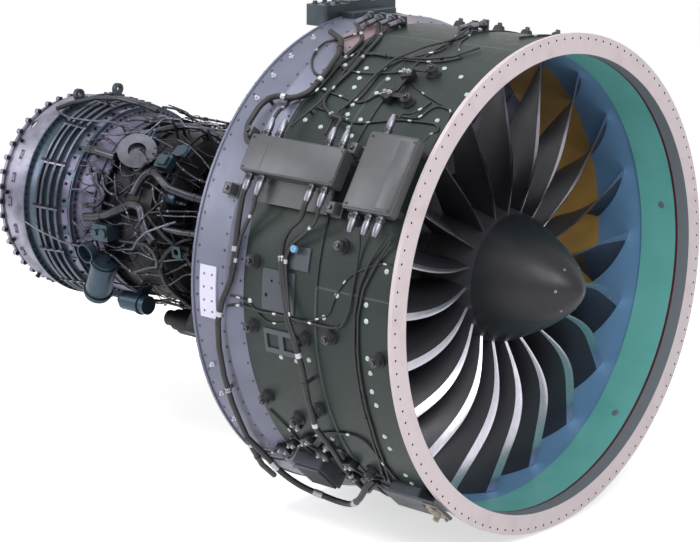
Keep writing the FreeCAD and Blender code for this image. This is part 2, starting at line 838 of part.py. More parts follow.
nozzle_x = hpc_rear + 92
diffuser = turned("diffuser_turning", [
    (hpc_rear, hpc_rear_r),
    (hpc_rear, hpc_rear_r + wall + 34),
    (hpc_rear + FLANGE_HALF, hpc_rear_r + wall + 34),
    (hpc_rear + FLANGE_HALF, hpc_rear_r + wall + 2),
    (hpc_rear + 62, burner_r - 22),
    (hpc_rear + 80, burner_r - 10),
    (hpc_rear + 104, burner_r - 10),
    (burner_rear - FLANGE_HALF, burner_r),
    (burner_rear - FLANGE_HALF, burner_r + 12),
    (burner_rear, burner_r + 12),
    (burner_rear, burner_r - wall),
    (hpc_rear + 104, burner_r - 10 - wall),
    (hpc_rear + 76, burner_r - 12 - wall),
    (hpc_rear + 26, hpc_rear_r + 10),
], keep=False)
nozzle_port = Part.makeCylinder(9, 120, Vector(nozzle_x, 0, burner_r - 60), Vector(0, 0, 1))
ports = shaped("nozzle_ports", around(nozzle_port, size.fuel_nozzle_count, 11), keep=False)
diffuser_case = doc.addObject("Part::Cut", "diffuser_case")
diffuser_case.Label = "diffuser_case"
diffuser_case.Base = diffuser
diffuser_case.Tool = ports
parts.append(diffuser_case)

dome_x = nozzle_x + 18
turned("combustor_liner", [
    (dome_x, 264),
    (dome_x, burner_r - 42),
    (burner_rear - 60, burner_r - 50),
    (burner_rear - 0.3, burner_r - 62),
    (burner_rear - 0.3, burner_r - 66),
    (burner_rear - 60, burner_r - 54),
    (dome_x + 6, burner_r - 48),
    (dome_x + 6, 270),
    (burner_rear - 60, 296),
    (burner_rear - 0.3, 304),
    (burner_rear - 0.3, 298),
    (burner_rear - 60, 290),
])
nozzle_stem = Part.makeCylinder(8.7, burner_r - 10 + 6 - 330, Vector(nozzle_x, 0, 330), Vector(0, 0, 1))
nozzle_tip = Part.makeCylinder(24, 24, Vector(dome_x - 24.3, 0, 330), AXIS)
nozzle_foot = block(44, 34, 12, 6)
nozzle_foot.translate(Vector(nozzle_x, 0, burner_r - 12))
nozzle_foot = nozzle_foot.cut(ring([(hpc_rear, 0), (hpc_rear, burner_r - 10),
                                    (hpc_rear + 104, burner_r - 10),
                                    (burner_rear, burner_r), (burner_rear, 0)]))
nozzle_cap = Part.makeCylinder(9, 26, Vector(nozzle_x, 0, burner_r), Vector(0, 0, 1))
nozzle = fused([nozzle_stem, nozzle_tip, nozzle_foot, nozzle_cap])
manifold = Part.makeTorus(burner_r + 20, 6, Vector(nozzle_x - 9 - 6 - size.running_gap, 0, 0), AXIS)
shaped("fuel_nozzles", [*around(nozzle, size.fuel_nozzle_count, 11), manifold])

case("high_turbine_case", burner_rear, hpt_rear, hpt_bore, hpt_bore + 20, 34, 26)
turbine_outer = case("turbine_frame_outer", hpt_rear, lpt_front, frame_bore - 8, lpt_front_r - 26, 4, 14,
                     [(hpt_rear + 60, 8, 10)], keep=False)
turbine_hub = turned("turbine_frame_hub", [
    (hpt_rear + 20, 286),
    (hpt_rear + 20, 296),
    (lpt_front - 20, 306),
    (lpt_front - 20, 296),
    (hpt_rear + 70, 286),
    (hpt_rear + 70, high_bearing_bore),
    (hpt_rear + 20, high_bearing_bore),
    (hpt_rear + 20, high_bearing_bore + 14),
    (hpt_rear + 58, high_bearing_bore + 26),
    (hpt_rear + 58, 276),
], keep=False)
turbine_strut = strut(hpt_rear + 40, 110, 30, 290, frame_bore + 8)
turbine_struts = shaped("turbine_frame_struts", around(turbine_strut, 10, 9), keep=False)
turbine_frame = doc.addObject("Part::MultiFuse", "turbine_frame")
turbine_frame.Label = "turbine_frame"
turbine_frame.Shapes = [turbine_outer, turbine_hub, turbine_struts]
parts.append(turbine_frame)

lpt_bore_front = lpt_front_r - wall
lpt_bore_rear = lpt_rear_r - wall
lpt_length = lpt_rear - lpt_front
COOLING_SHARES = (0.30, 0.46, 0.62, 0.73)
cooling_xs = [lpt_front + lpt_length * share for share in COOLING_SHARES]
case("low_turbine_case", lpt_front, lpt_rear, lpt_bore_front, lpt_bore_rear, 16, 20,
     [(x, 6, 12) for x in cooling_xs])


def lpt_skin(x):
    return float(lpt_front_r + (lpt_rear_r - lpt_front_r) * (x - lpt_front) / lpt_length)


tube_r = float(size.cooling_tube_radius)
cooling = []
for x in cooling_xs:
    hoop = Part.makeTorus(lpt_skin(x) + 6 + tube_r, tube_r, Vector(x, 0, 0), AXIS)
    cooling.append(hoop)
shaped("cooling_tubes", cooling)

exit_flange_r = size.exhaust_flange_radius
tail_front = lpt_rear + 150
exhaust_outer = turned("exhaust_outer", [
    (lpt_rear, lpt_bore_rear),
    (lpt_rear, lpt_rear_r + 20),
    (lpt_rear + FLANGE_HALF, lpt_rear_r + 20),
    (lpt_rear + FLANGE_HALF, lpt_rear_r + 6),
    (tail_front, lpt_rear_r + 2),
    (exit_rear, exit_flange_r - 12),
    (exit_rear, exit_flange_r),
    (exit_rear + 18, exit_flange_r),
    (exit_rear + 18, exit_flange_r - 30),
    (exit_rear, exit_flange_r - 30),
    (tail_front, lpt_rear_r - wall),
], keep=False)
exhaust_hub = turned("exhaust_hub", [
    (lpt_rear + 10, 300),
    (lpt_rear + 10, 310),
    (exit_rear, 290),
    (exit_rear, 276),
    (lpt_rear + 110, 296),
    (lpt_rear + 110, bearing_bore),
    (lpt_rear + 50, bearing_bore),
    (lpt_rear + 50, bearing_bore + 14),
    (lpt_rear + 96, bearing_bore + 30),
    (lpt_rear + 96, 290),
], keep=False)
exhaust_strut = strut(lpt_rear + 30, 130, 26, 300, lpt_rear_r - 4, 8)
exhaust_struts = shaped("exhaust_struts", around(exhaust_strut, size.exhaust_strut_count, 15), keep=False)
lug = Part.makeCylinder(15, 24, Vector(exit_rear - 3, 0, exit_flange_r + 5), AXIS)
lug = lug.cut(Part.makeCylinder(6, 40, Vector(exit_rear - 10, 0, exit_flange_r + 8), AXIS))
lugs = shaped("exhaust_lugs", around(lug, size.exhaust_lug_count), keep=False)
exhaust_body = doc.addObject("Part::MultiFuse", "exhaust_body")
exhaust_body.Shapes = [exhaust_outer, exhaust_hub, exhaust_struts, lugs]
window_corners = [at(lpt_rear + dx, angle, 440) for dx, angle in ((126, 36), (176, 38), (128, 43))]
window_far = [at(lpt_rear + dx, angle, 560) for dx, angle in ((126, 36), (176, 38), (128, 43))]
window_loops = [Part.makePolygon([*corners, corners[0]]) for corners in (window_corners, window_far)]
exhaust_window = shaped("exhaust_window", Part.makeLoft(window_loops, True, True), keep=False)
exhaust_case = doc.addObject("Part::Cut", "exhaust_case")
exhaust_case.Label = "exhaust_case"
exhaust_case.Base = exhaust_body
exhaust_case.Tool = exhaust_window
parts.append(exhaust_case)

# ---------------------------------------------------------------- spools, vanes and bearings
low_r = size.low_shaft_radius
low_in = low_r - size.low_shaft_wall
high_r = size.high_shaft_radius
high_in = high_r - size.high_shaft_wall
gap = size.running_gap
low_rear = size.low_shaft_rear_x
booster_pitch = (booster_rear - booster_front - 30) / size.booster_stages
booster_drum_front = booster_front + 8
booster_drum_rear = booster_rear - 12
drum_out = duct_in - 6
BLADE_GAP = 3


def drum(front, rear, front_r, rear_r, skin_wall, hub_x, hub_half, shaft_r):
    """A drum with one web down to its shaft, as one turned solid."""
    return ring([
        (front, front_r - skin_wall), (front, front_r), (rear, rear_r), (rear, rear_r - skin_wall),
        (hub_x + 12, (front_r + rear_r) / 2 - skin_wall - 4), (hub_x + 12, shaft_r + 24),
        (hub_x + hub_half, shaft_r + 8), (hub_x + hub_half, shaft_r), (hub_x - hub_half, shaft_r),
        (hub_x - hub_half, shaft_r + 8), (hub_x - 12, shaft_r + 24),
        (hub_x - 12, (front_r + rear_r) / 2 - skin_wall - 4),
    ])


def rows(front, pitch, count, chord, thickness, lean, inner_at, outer_at, blades, start=0.0):
    """Rows of blades or vanes whose ends follow the drum and the case."""
    group = []
    for k in range(int(count)):
        x = float(front + pitch * k)
        room = [(x - 30, inner_at(x - 30)), (x + chord + 30, inner_at(x + chord + 30)),
                (x + chord + 30, outer_at(x + chord + 30)), (x - 30, outer_at(x - 30))]
        group += trimmed_row(x, chord, thickness, lean, room, blades, start)
    return group


def line(x0, y0, x1, y1):
    """The straight line through two (x, radius) points, as a function of x."""
    return lambda x: float(y0 + (y1 - y0) * (x - x0) / (x1 - x0))


booster_drum_line = line(booster_drum_front, drum_out, booster_drum_rear, drum_out - 10)
booster_case_line = line(booster_front, duct_out, booster_rear, booster_exit_r)
booster_drum = drum(booster_drum_front, booster_drum_rear, drum_out, drum_out - 10, 10,
                    booster_front + 170, 30, low_r)
booster_blades = rows(booster_front + 12, booster_pitch, size.booster_stages, 34, 6, 35, booster_drum_line,
                      lambda x: booster_case_line(x) - BLADE_GAP, size.row_blades)

low_shaft = ring([(gear_front - 4, low_in), (gear_front - 4, low_r), (low_rear, low_r), (low_rear, low_in)])
lpt_drum_front = lpt_front + 12
lpt_drum_rear = lpt_rear - 12
lpt_drum_line = line(lpt_front, 300, lpt_rear, 306)
lpt_case_line = line(lpt_front, lpt_bore_front, lpt_rear, lpt_bore_rear)
lpt_drum = drum(lpt_drum_front, lpt_drum_rear, 300, 306, 12, lpt_front + 150, 40, low_r)
lpt_pitch = (lpt_length - 40) / size.low_turbine_stages
lpt_blades = rows(lpt_front + 62, lpt_pitch, size.low_turbine_stages, 36, 8, 30, lpt_drum_line,
                  lambda x: lpt_case_line(x) - BLADE_GAP, size.row_blades)
shaped("low_spool", [fused([low_shaft, booster_drum, lpt_drum]), *booster_blades, *lpt_blades])

drum_start = hpc_front + 12
drum_end = hpc_rear - 12
hpc_drum_line = line(hpc_front, compressor_hub_front, hpc_rear, 262)
hpc_case_line = line(hpc_front, hpc_front_r, hpc_rear, hpc_rear_r)
hpc_drum = drum(drum_start, drum_end, hpc_drum_line(drum_start), hpc_drum_line(drum_end), 14,
                hpc_front + 330, 50, high_r)
hpc_blades = rows(hpc_front + 48, stage_pitch, size.compressor_stages, 26, 5, 40, hpc_drum_line,
                  lambda x: hpc_case_line(x) - BLADE_GAP, size.row_blades)
hpt_disc_front = burner_rear + 30
hpt_disc_rear = hpt_rear - 10
hpt_disc = drum(hpt_disc_front, hpt_disc_rear, 296, 296, 16, burner_rear + 80, 45, high_r)
hpt_case_line = line(burner_rear, hpt_bore, hpt_rear, hpt_bore + 20)
hpt_blades = rows(burner_rear + 44, 66, 2, 30, 8, 35, lambda x: 296.0,
                  lambda x: hpt_case_line(x) - BLADE_GAP, size.row_blades)
high_shaft = ring([(tower_x + 40, high_in), (tower_x + 40, high_r), (hpt_rear + 75, high_r),
                   (hpt_rear + 75, high_in)])

booster_vanes = rows(booster_front + 52, booster_pitch, size.booster_stages, 26, 5, -25,
                     lambda x: booster_drum_line(x) + BLADE_GAP, booster_case_line, size.row_blades, 6)
hpc_vanes = rows(hpc_front + 48 + stage_pitch / 2, stage_pitch, size.compressor_stages - 1, 24, 5, -25,
                 lambda x: hpc_drum_line(x) + BLADE_GAP, hpc_case_line, size.row_blades, 6)
hpt_vanes = rows(burner_rear + 6, 76, 2, 22, 9, -30, lambda x: 296.0 + BLADE_GAP, hpt_case_line,
                 size.row_blades, 6)
lpt_vanes = rows(lpt_front + 16, lpt_pitch, size.low_turbine_stages, 34, 8, -25,
                 lambda x: lpt_drum_line(x) + BLADE_GAP, lpt_case_line, size.row_blades, 6)
shaped("stator_vanes", [*booster_vanes, *hpc_vanes, *hpt_vanes, *lpt_vanes])


def race(front, rear, shaft_r, outer):
    return ring([(front, shaft_r + gap), (front, outer), (rear, outer), (rear, shaft_r + gap)])


shaped("shaft_bearings", [
    race(hub_rear + 12, hub_rear + 53, bore + 12, bearing_out),
    race(booster_rear + 37, booster_rear + 73, low_r, bearing_bore),
    race(hpc_front - 48, hpc_front - 12, high_r, high_bearing_bore),
    race(hpt_rear + 24, hpt_rear + 68, high_r, high_bearing_bore),
    race(lpt_rear + 54, lpt_rear + 98, low_r, bearing_bore),
])

# ---------------------------------------------------------------- variable vane rings and drive shafts
def vane_band(x):
    """A unison ring round the compressor case, lifted clear of it."""
    inner = hpc_case_line(x) + wall + size.unison_gap
    height = float(size.unison_ring_height)
    return ring([(x - 7, inner), (x - 7, inner + height), (x + 7, inner + height), (x + 7, inner)])


bands = [vane_band(x) for x in band_xs]
band_top = hpc_case_line(band_xs[0]) + float(wall + size.unison_gap + size.unison_ring_height)
bridge = block(band_xs[-1] - band_xs[0] + 24, 26, 21, 3, -5)
shaped("vane_rings", fused([*bands, placed(bridge, (band_xs[0] + band_xs[-1]) / 2, 90, band_top - 8)]))

actuator_x = (band_xs[0] + band_xs[-1]) / 2
actuator_y = band_top + 8 + 0.3 + 9
housing_low = 60
rod_radius = 8
actuator_rod = fused([
    Part.makeCylinder(rod_radius, 150, Vector(actuator_x, actuator_y, -20), Vector(0, 0, 1)),
    Part.makeBox(30, 18, 26, Vector(actuator_x - 15, actuator_y - 9, -13)),
])
shaped("actuator_rod", actuator_rod)
actuator_foot_r = hpc_case_line(actuator_x) + float(wall)
arm_x = actuator_x + 30
housing = fused([
    Part.makeCylinder(20, 150, Vector(actuator_x, actuator_y, housing_low), Vector(0, 0, 1)),
    Part.makeBox(arm_x + 16 - actuator_x, 20, 24, Vector(actuator_x, actuator_y - 8, housing_low + 90)),
    Part.makeBox(16, actuator_y + 8 - 280, 24, Vector(arm_x, 280, housing_low + 90)),
]).cut(ring([(0, 0), (0, actuator_foot_r - 1.2), (5000, actuator_foot_r - 1.2), (5000, 0)]))
housing_bore = stem(rod_radius + gap, 128)
housing_bore.translate(Vector(actuator_x, actuator_y, housing_low - 10))
shaped("actuator_housing", housing.cut(housing_bore).Solids[0])

layshaft_r = 480
gearbox_front = 1890
gearbox_rear = 2050
gearbox_inner = 430
gearbox_outer = 600
tower_r = size.tower_shaft_radius
lay_r = size.lay_shaft_radius

# The tower shaft takes its drive from a bevel gear on the high shaft. Both gears share one apex, where
# the tower's axis meets the engine's, so each tooth is a wedge that narrows towards that apex.
BEVEL_TEETH = 40
TOWER_TEETH = 20
bevel_radius = 100.0
bevel_module = bevel_radius * 2 / BEVEL_TEETH
bevel_slant = bevel_radius / math.sin(math.atan2(BEVEL_TEETH, TOWER_TEETH))
BEVEL_FACE = 0.76
BEVEL_BACKLASH = 0.2


def wedge_corners(teeth, mate_teeth, sunk=0.0):
    """The corners of one tooth at its big end, on a gear about +X with its apex at the origin."""
    cone = math.atan2(teeth, mate_teeth)
    virtual = bevel_slant * math.tan(cone)
    virtual_teeth = teeth / math.cos(cone)
    base = virtual * math.cos(PRESSURE_ANGLE)
    involute = math.tan(PRESSURE_ANGLE) - PRESSURE_ANGLE
    root = virtual - 1.3 * bevel_module
    tip = virtual + bevel_module
    foot = max(base, root)
    flank = []
    for k in range(4):
        radius = foot + (tip - foot) * k / 3
        slope = math.acos(min(1.0, base / radius))
        half = math.pi / 2 / virtual_teeth + involute - math.tan(slope) + slope - BEVEL_BACKLASH / virtual
        flank.append((radius, half))
    flank.insert(0, (root - sunk, flank[0][1] * 1.1))
    points = [(-half, radius) for radius, half in flank]
    points += [(half, radius) for radius, half in reversed(flank)]
    corners = []
    for half, radius in points:
        out = radius * math.cos(half) - virtual
        corners.append(Vector(bevel_slant * math.cos(cone) - out * math.sin(cone), radius * math.sin(half),
                              bevel_slant * math.sin(cone) + out * math.cos(cone)))
    return corners


def crown(teeth, mate_teeth, bore_radius):
    """The wide gear of the pair: wedge teeth on a turned blank, the big end aft."""
    big = wedge_corners(teeth, mate_teeth, 2)
    small = [point * BEVEL_FACE for point in big]
    wires = [Part.makePolygon([*points, points[0]]) for points in (small, big)]
    tooth = upright(Part.makeLoft(wires, True, True))
    root = wedge_corners(teeth, mate_teeth)[0]
    far = Vector(root.x, 0, root.z) * 1.03
    near = far * (BEVEL_FACE - 0.03)
    blank = ring([(near.x, bore_radius), (near.x, near.z), (far.x, far.z), (far.x + 6, far.z - 6),
                  (far.x + 6, bore_radius)])
    blank.rotate(ORIGIN, AXIS, 180 / teeth)
    return blank.fuse(around(tooth, teeth)).Solids[0]


def pinion(teeth, mate_teeth, rear):
    """The slim gear of the pair, with a gap at the top: its outline at both ends, joined by straight rays."""
    wires = []
    for x in (rear * BEVEL_FACE, rear):
        outline = []
        for k in range(teeth):
            swung = Rotation(AXIS, -360 * (k + 0.5) / teeth)
            for corner in wedge_corners(teeth, mate_teeth):
                outline.append(swung.multVec(corner * (x / corner.x)))
        wires.append(Part.makePolygon([*outline, outline[0]]))
    return upright(Part.makeLoft(wires, True, True))


tower_gear = pinion(TOWER_TEETH, BEVEL_TEETH, bevel_radius)
tower_gear.rotate(ORIGIN, Vector(0, 1, 0), 90)
tower_gear.translate(Vector(tower_x, 0, 0))
stem_top = bevel_radius - 10
tower_stem = Part.makeCylinder(tower_r, layshaft_r - 22 - stem_top, at(tower_x, 180, stem_top),
                               Vector(0, 0, -1))
shaped("tower_shaft", tower_gear.fuse(tower_stem).Solids[0])
high_bevel = crown(BEVEL_TEETH, TOWER_TEETH, high_r - 2)
high_bevel.translate(Vector(tower_x, 0, 0))
shaped("high_spool", [fused([high_shaft, hpc_drum, hpt_disc, high_bevel]), *hpc_blades, *hpt_blades])
lay_front = tower_x + 30
lay_length = gearbox_front + 60 - lay_front
shaped("lay_shaft", Part.makeCylinder(lay_r, lay_length, at(lay_front, 180, layshaft_r), AXIS))


# ---------------------------------------------------------------- accessory gearbox and what it drives
def sector(front, rear, start, end, inner, outer):
    """A block bent round the engine's axis between two angles."""
    corners = [(front, inner), (front, outer), (rear, outer), (rear, inner)]
    face = face_of([at(x, start, radius) for x, radius in corners])
    return upright(face.revolve(ORIGIN, AXIS, start - end))


def axial(x, angle, radius, own_radius, length):
    """A cylinder lying along the engine at the given place."""
    return Part.makeCylinder(own_radius, length, at(x, angle, radius), AXIS)


gearbox_arc = sector(gearbox_front, gearbox_rear, 148, 212, gearbox_inner, gearbox_outer)
gearbox_arc = gearbox_arc.makeFillet(14, [e for e in gearbox_arc.Edges if e.Length < 200])
angle_box = block(104, 96, 84, 14)
angle_box.translate(Vector(0, 0, -30))
angle_box = placed(angle_box, box_front + 16 + 52, 180, layshaft_r)
torque_tube = axial(tower_x + 30, 180, layshaft_r, 26, gearbox_front - tower_x)
lug_foot = float(hpc_rear_r + wall + 34)
box_lugs = [sector(hpc_rear - 2, hpc_rear + 8, angle - 3, angle + 3, lug_foot, gearbox_inner + 8)
            for angle in (156, 204)]
gearbox = fused([gearbox_arc, angle_box, torque_tube, *box_lugs])
lay_bore = axial(lay_front - 50, 180, layshaft_r, lay_r + gap, lay_length + 60)
box_bore = Part.makeCylinder(tower_r + gap, 100, at(tower_x, 180, layshaft_r - 80), Vector(0, 0, -1))
gearbox = gearbox.cut(Part.makeCompound([lay_bore, box_bore]))
shaped("accessory_gearbox", gearbox)


def unit(x, angle, radius, steps):
    """A turned unit bolted to the gearbox: (length, radius) steps one behind the other."""
    pieces = []
    for length, own_radius in steps:
        pieces.append(axial(x, angle, radius, own_radius, length))
        x += length
    return fused(pieces)


starter = unit(gearbox_rear, 167, 548, [(14, 62), (60, 52), (110, 66), (50, 54), (60, 40)])
generator = unit(gearbox_front - 226, 160, 512, [(40, 58), (150, 72), (24, 60), (12, 66)])
fuel_pump = unit(gearbox_rear, 188, 536, [(12, 52), (90, 44), (70, 56), (110, 48), (40, 30)])
oil_pump = unit(gearbox_front - 172, 200, 512, [(30, 40), (130, 56), (12, 62)])
hydraulic_pump = unit(gearbox_rear, 203, 532, [(12, 44), (80, 36), (60, 44)])
shaped("gearbox_units", [starter, generator, fuel_pump, oil_pump, hydraulic_pump])

tank = sector(500, 800, -128, -88, float(barrel_out) + 14, float(barrel_out) + 122)
tank = tank.makeFillet(26, tank.Edges)
tank_straps = [sector(x, x + 30, -131, -85, float(barrel_out), float(barrel_out) + 14) for x in (560, 710)]
neck_place = seat(650, -90, float(barrel_out) + 60)
neck = Part.makeCylinder(26, 60, ORIGIN, Vector(0, 1, 0))
neck.Placement = neck_place
cap = Part.makeCylinder(32, 16, Vector(0, 60, 0), Vector(0, 1, 0))
cap.Placement = neck_place
shaped("oil_tank", fused([tank, *tank_straps, neck, cap]))

# ---------------------------------------------------------------- things carried by the core
def rib_corners(x, height, width):
    """The outline of one rib of the compressor case."""
    skin_r = hpc_case_line(x) + wall
    return [(x - width / 2, skin_r + 0.5), (x - width / 2, skin_r + height),
            (x + width / 2, skin_r + height), (x + width / 2, skin_r)]


rib_x = hpt_rear + 60
frame_skin_r = frame_bore - 8 + wall
core_skin = [
    (hpc_front, hpc_front_r + wall), *rib_corners(hpc_front + 300, 16, 14),
    *rib_corners(hpc_front + 480, 10, 10),
    (hpc_rear - FLANGE_HALF, hpc_rear_r + wall + 0.5), (hpc_rear - FLANGE_HALF, hpc_rear_r + wall + 34),
    (hpc_rear + FLANGE_HALF, hpc_rear_r + wall + 34),
    (hpc_rear + FLANGE_HALF, hpc_rear_r + wall + 2), (hpc_rear + 62, burner_r - 22),
    (hpc_rear + 80, burner_r - 10),
    (hpc_rear + 104, burner_r - 10), (burner_rear - FLANGE_HALF, burner_r),
    (burner_rear - FLANGE_HALF, burner_r + 12),
    (burner_rear, burner_r + 12), (burner_rear, hpt_bore + wall + 34),
    (burner_rear + FLANGE_HALF, hpt_bore + wall + 34),
    (burner_rear + FLANGE_HALF, hpt_bore + wall + 1), (hpt_rear - FLANGE_HALF, hpt_bore + wall + 20),
    (hpt_rear - FLANGE_HALF, hpt_bore + wall + 46), (hpt_rear + FLANGE_HALF, hpt_bore + wall + 46),
    (hpt_rear + FLANGE_HALF, frame_skin_r + 1), (rib_x - 5, frame_skin_r + 7),
    (rib_x - 5, frame_skin_r + 16),
    (rib_x + 5, frame_skin_r + 16), (rib_x + 5, frame_skin_r + 8),
    (lpt_front - FLANGE_HALF, lpt_front_r - 16),
    (lpt_front - FLANGE_HALF, lpt_front_r - 2), (lpt_front, lpt_front_r - 2), (lpt_front, lpt_front_r + 16),
    (lpt_front + FLANGE_HALF, lpt_front_r + 16), (lpt_front + FLANGE_HALF, lpt_front_r + 0.7),
    (lpt_rear - FLANGE_HALF, lpt_rear_r),
]
core_envelope = ring([(hpc_front, 0), *[(x, radius + gap) for x, radius in core_skin],
                      (lpt_rear - FLANGE_HALF, 0)])
barrel = float(barrel_out)
case_envelope = ring([
    (0, 0), (0, barrel + gap), (ridge_front, barrel + gap), (ridge_front, float(ridge_top) + gap),
    (ridge_rear, float(ridge_top) + gap), (ridge_rear, barrel + gap), (barrel_rear, barrel + gap),
    (taper_rear, float(frame_out) + gap), (frame_rear, float(frame_out) + gap), (frame_rear, 0),
])


def clip(near, far, own_radius, thin=10.0):
    """The clip round a pipe in the middle of a straight run, and its stand down to the skin."""
    middle = (near + far) / 2
    way = (far - near).normalize()
    collar = Part.makeCylinder(own_radius + 2.5, 14, middle - way * 7, way)
    height = math.hypot(middle.y, middle.z)
    angle = math.degrees(math.atan2(middle.y, middle.z))
    stand = placed(block(thin, max(own_radius, 8), 200), middle.x, angle, height - 200)
    return [collar, stand]


def clipped(stations, own_radius, runs, envelope, step, bend):
    """A pipe along its stations, with a clip in each of the named runs."""
    points = hugging(stations, step)
    pieces = [tube(points, own_radius, bend)]
    for run in runs:
        pieces += clip(points[run], points[run + 1], own_radius)
    return fused(pieces).cut(envelope)


canister_top = at(2431, 111.8, 506)
canister_low = at(2564, 133.8, 572)
canister_way = canister_low - canister_top
canister = fused([
    Part.makeCylinder(66, canister_way.Length, canister_top, canister_way),
    Part.makeCylinder(74, 12, canister_top + canister_way * 0.06, canister_way),
    Part.makeCylinder(74, 12, canister_top + canister_way * 0.88, canister_way),
    Part.makeCone(66, 34, 34, canister_low, canister_way),
    Part.makeCylinder(22, 40, canister_top - canister_way * 0.08, canister_way),
])
canister_saddle = block(60, 60, 80)
saddle_spot = canister_top + canister_way * 0.12
canister_saddle.Placement = seat(saddle_spot.x, 113.5, 400)
port_place = (2509, 106.5)
port_collar = placed(stem(52, 46), *port_place, 515)
port_bore = placed(stem(45, 60), *port_place, 524)
canister = fused([canister, canister_saddle, port_collar]).cut(port_bore).cut(core_envelope)
canister_two = fused([
    Part.makeCylinder(47, 170, at(2215, 136, 556), AXIS),
    Part.makeCylinder(54, 14, at(2255, 136, 556), AXIS),
    Part.makeCylinder(26, 30, at(2385, 136, 556), AXIS),
    placed(block(30, 50, 110), 2300, 136, 410),
]).cut(core_envelope)
oval_cover = fused([placed(block(96, 60, 9, 4), 2065, 37.6, 474), placed(stem(38, 6), 2065, 37.6, 482),
                    placed(stem(13, 100), 2065, 37.6, 380)])
valve_body = fused([placed(block(94, 72, 40, 8), 2112, 47.6, 462),
                    placed(block(60, 50, 16, 5), 2110, 47.6, 500),
                    placed(block(24, 30, 100), 2132, 47.6, 370)])
actuator_can = fused([axial(2002, 66.4, 405, 36, 62), axial(2006, 66.4, 405, 39, 10),
                      placed(block(30, 40, 120), 2050, 66.4, 300)])
valve_block = fused([placed(block(104, 84, 110, 8), 2414, 94.6, 412), placed(stem(24, 14), 2390, 94.6, 520),
                     placed(stem(16, 20), 2440, 94.6, 520)])
square_port = fused([placed(block(62, 62, 9, 4), 1950, 100, 446), placed(stem(22, 150), 1950, 100, 298)])
square_port = square_port.cut(placed(stem(16, 60), 1950, 100, 410))
carried = [unit_body.cut(core_envelope).Solids[0]
           for unit_body in (oval_cover, valve_body, actuator_can, valve_block, square_port)]
shaped("heat_exchanger", [canister, canister_two, *carried])

duct_mouth = at(2315, 44.5, 505)
duct_face = Vector(-0.50, 0.56, 0.66).normalize()
duct_tube = Part.makeCylinder(60, 84, duct_mouth - duct_face * 84, duct_face)
duct_collar = Part.makeCylinder(72, 14, duct_mouth - duct_face * 84, duct_face)
duct_flange = Part.makeCylinder(98, 12, duct_mouth - duct_face * 12, duct_face)
duct_core = Part.makeCylinder(46, 30, duct_mouth - duct_face * 26, duct_face)
shaped("bleed_duct", fused([duct_tube, duct_collar, duct_flange]).cut(duct_core).cut(core_envelope))

# Pipes follow the places seen on the engine: (x, angle, radius).
CORE_PIPES = [
    (22, [(2640, 49.7, 510), (2560, 50, 516), (2480, 50.6, 512), (2428, 50.8, 506)], (0,)),
    (11, [(2575, 82, 486), (2520, 81, 486), (2474, 80, 484), (2438, 74, 480), (2470, 70, 480),
          (2506, 68, 484),
          (2536, 62, 484)], (0,)),
    (22, [(2560, 88.5, 488), (2480, 87, 488), (2402, 85, 486), (2320, 80, 482), (2251, 76, 482),
          (2200, 75.5, 486),
          (2155, 77, 494), (2122, 85, 498), (2095, 90, 500), (2050, 94, 500)], (1, 3)),
    (20, [(2240, 70, 482), (2228, 64, 482), (2208, 58, 484), (2179, 55.3, 488), (2130, 55.5, 494),
          (2080, 58.5, 494),
          (2017, 62.5, 480), (1930, 63.6, 440), (1840, 64, 410), (1760, 64, 400)], (3, 7)),
    (14, [(2330, 25, 484), (2240, 19, 490), (2170, 16, 492), (2100, 16, 492), (2030, 16.4, 480),
          (1900, 17, 450),
          (1700, 17, 440)], (1, 5)),
    (9, [(2321, 98.8, 476), (2200, 97.5, 490), (2110, 96.4, 500), (2062, 99, 506), (2037, 104, 506),
         (2060, 109, 500), (2120, 111, 494), (2240, 116, 500)], (1,)),
    (16, [(2036, 87.2, 440), (1980, 87.2, 434), (1920, 87.3, 430), (1819, 86.5, 425), (1640, 86, 420)],
     (2, 3)),
    (12, [(3030, 28, 536), (2960, 22, 546), (2860, 14, 552), (2740, 9, 548), (2620, 7, 530),
          (2500, 5, 500)], (2,)),
    (18, [(2640, -52, 506), (2480, -54, 496), (2320, -58, 492), (2160, -60, 496), (2060, -61, 490),
          (2000, -62, 450),
          (1800, -62, 420)], (1, 5)),
    (14, [(2620, -96, 502), (2440, -98, 494), (2260, -92, 490), (2120, -98, 490), (2060, -100, 486),
          (1980, -104, 440), (1760, -106, 420)], (1, 5)),
    (20, [(2200, -128, 480), (2300, -122, 494), (2420, -116, 496), (2560, -112, 502), (2700, -110, 560)],
     (1,)),
]
pipes = []
for own_radius, stations, runs in CORE_PIPES:
    pipes.append(clipped(stations, own_radius, runs, core_envelope, 16, own_radius * 3.2))
shaped("core_pipes", pipes)

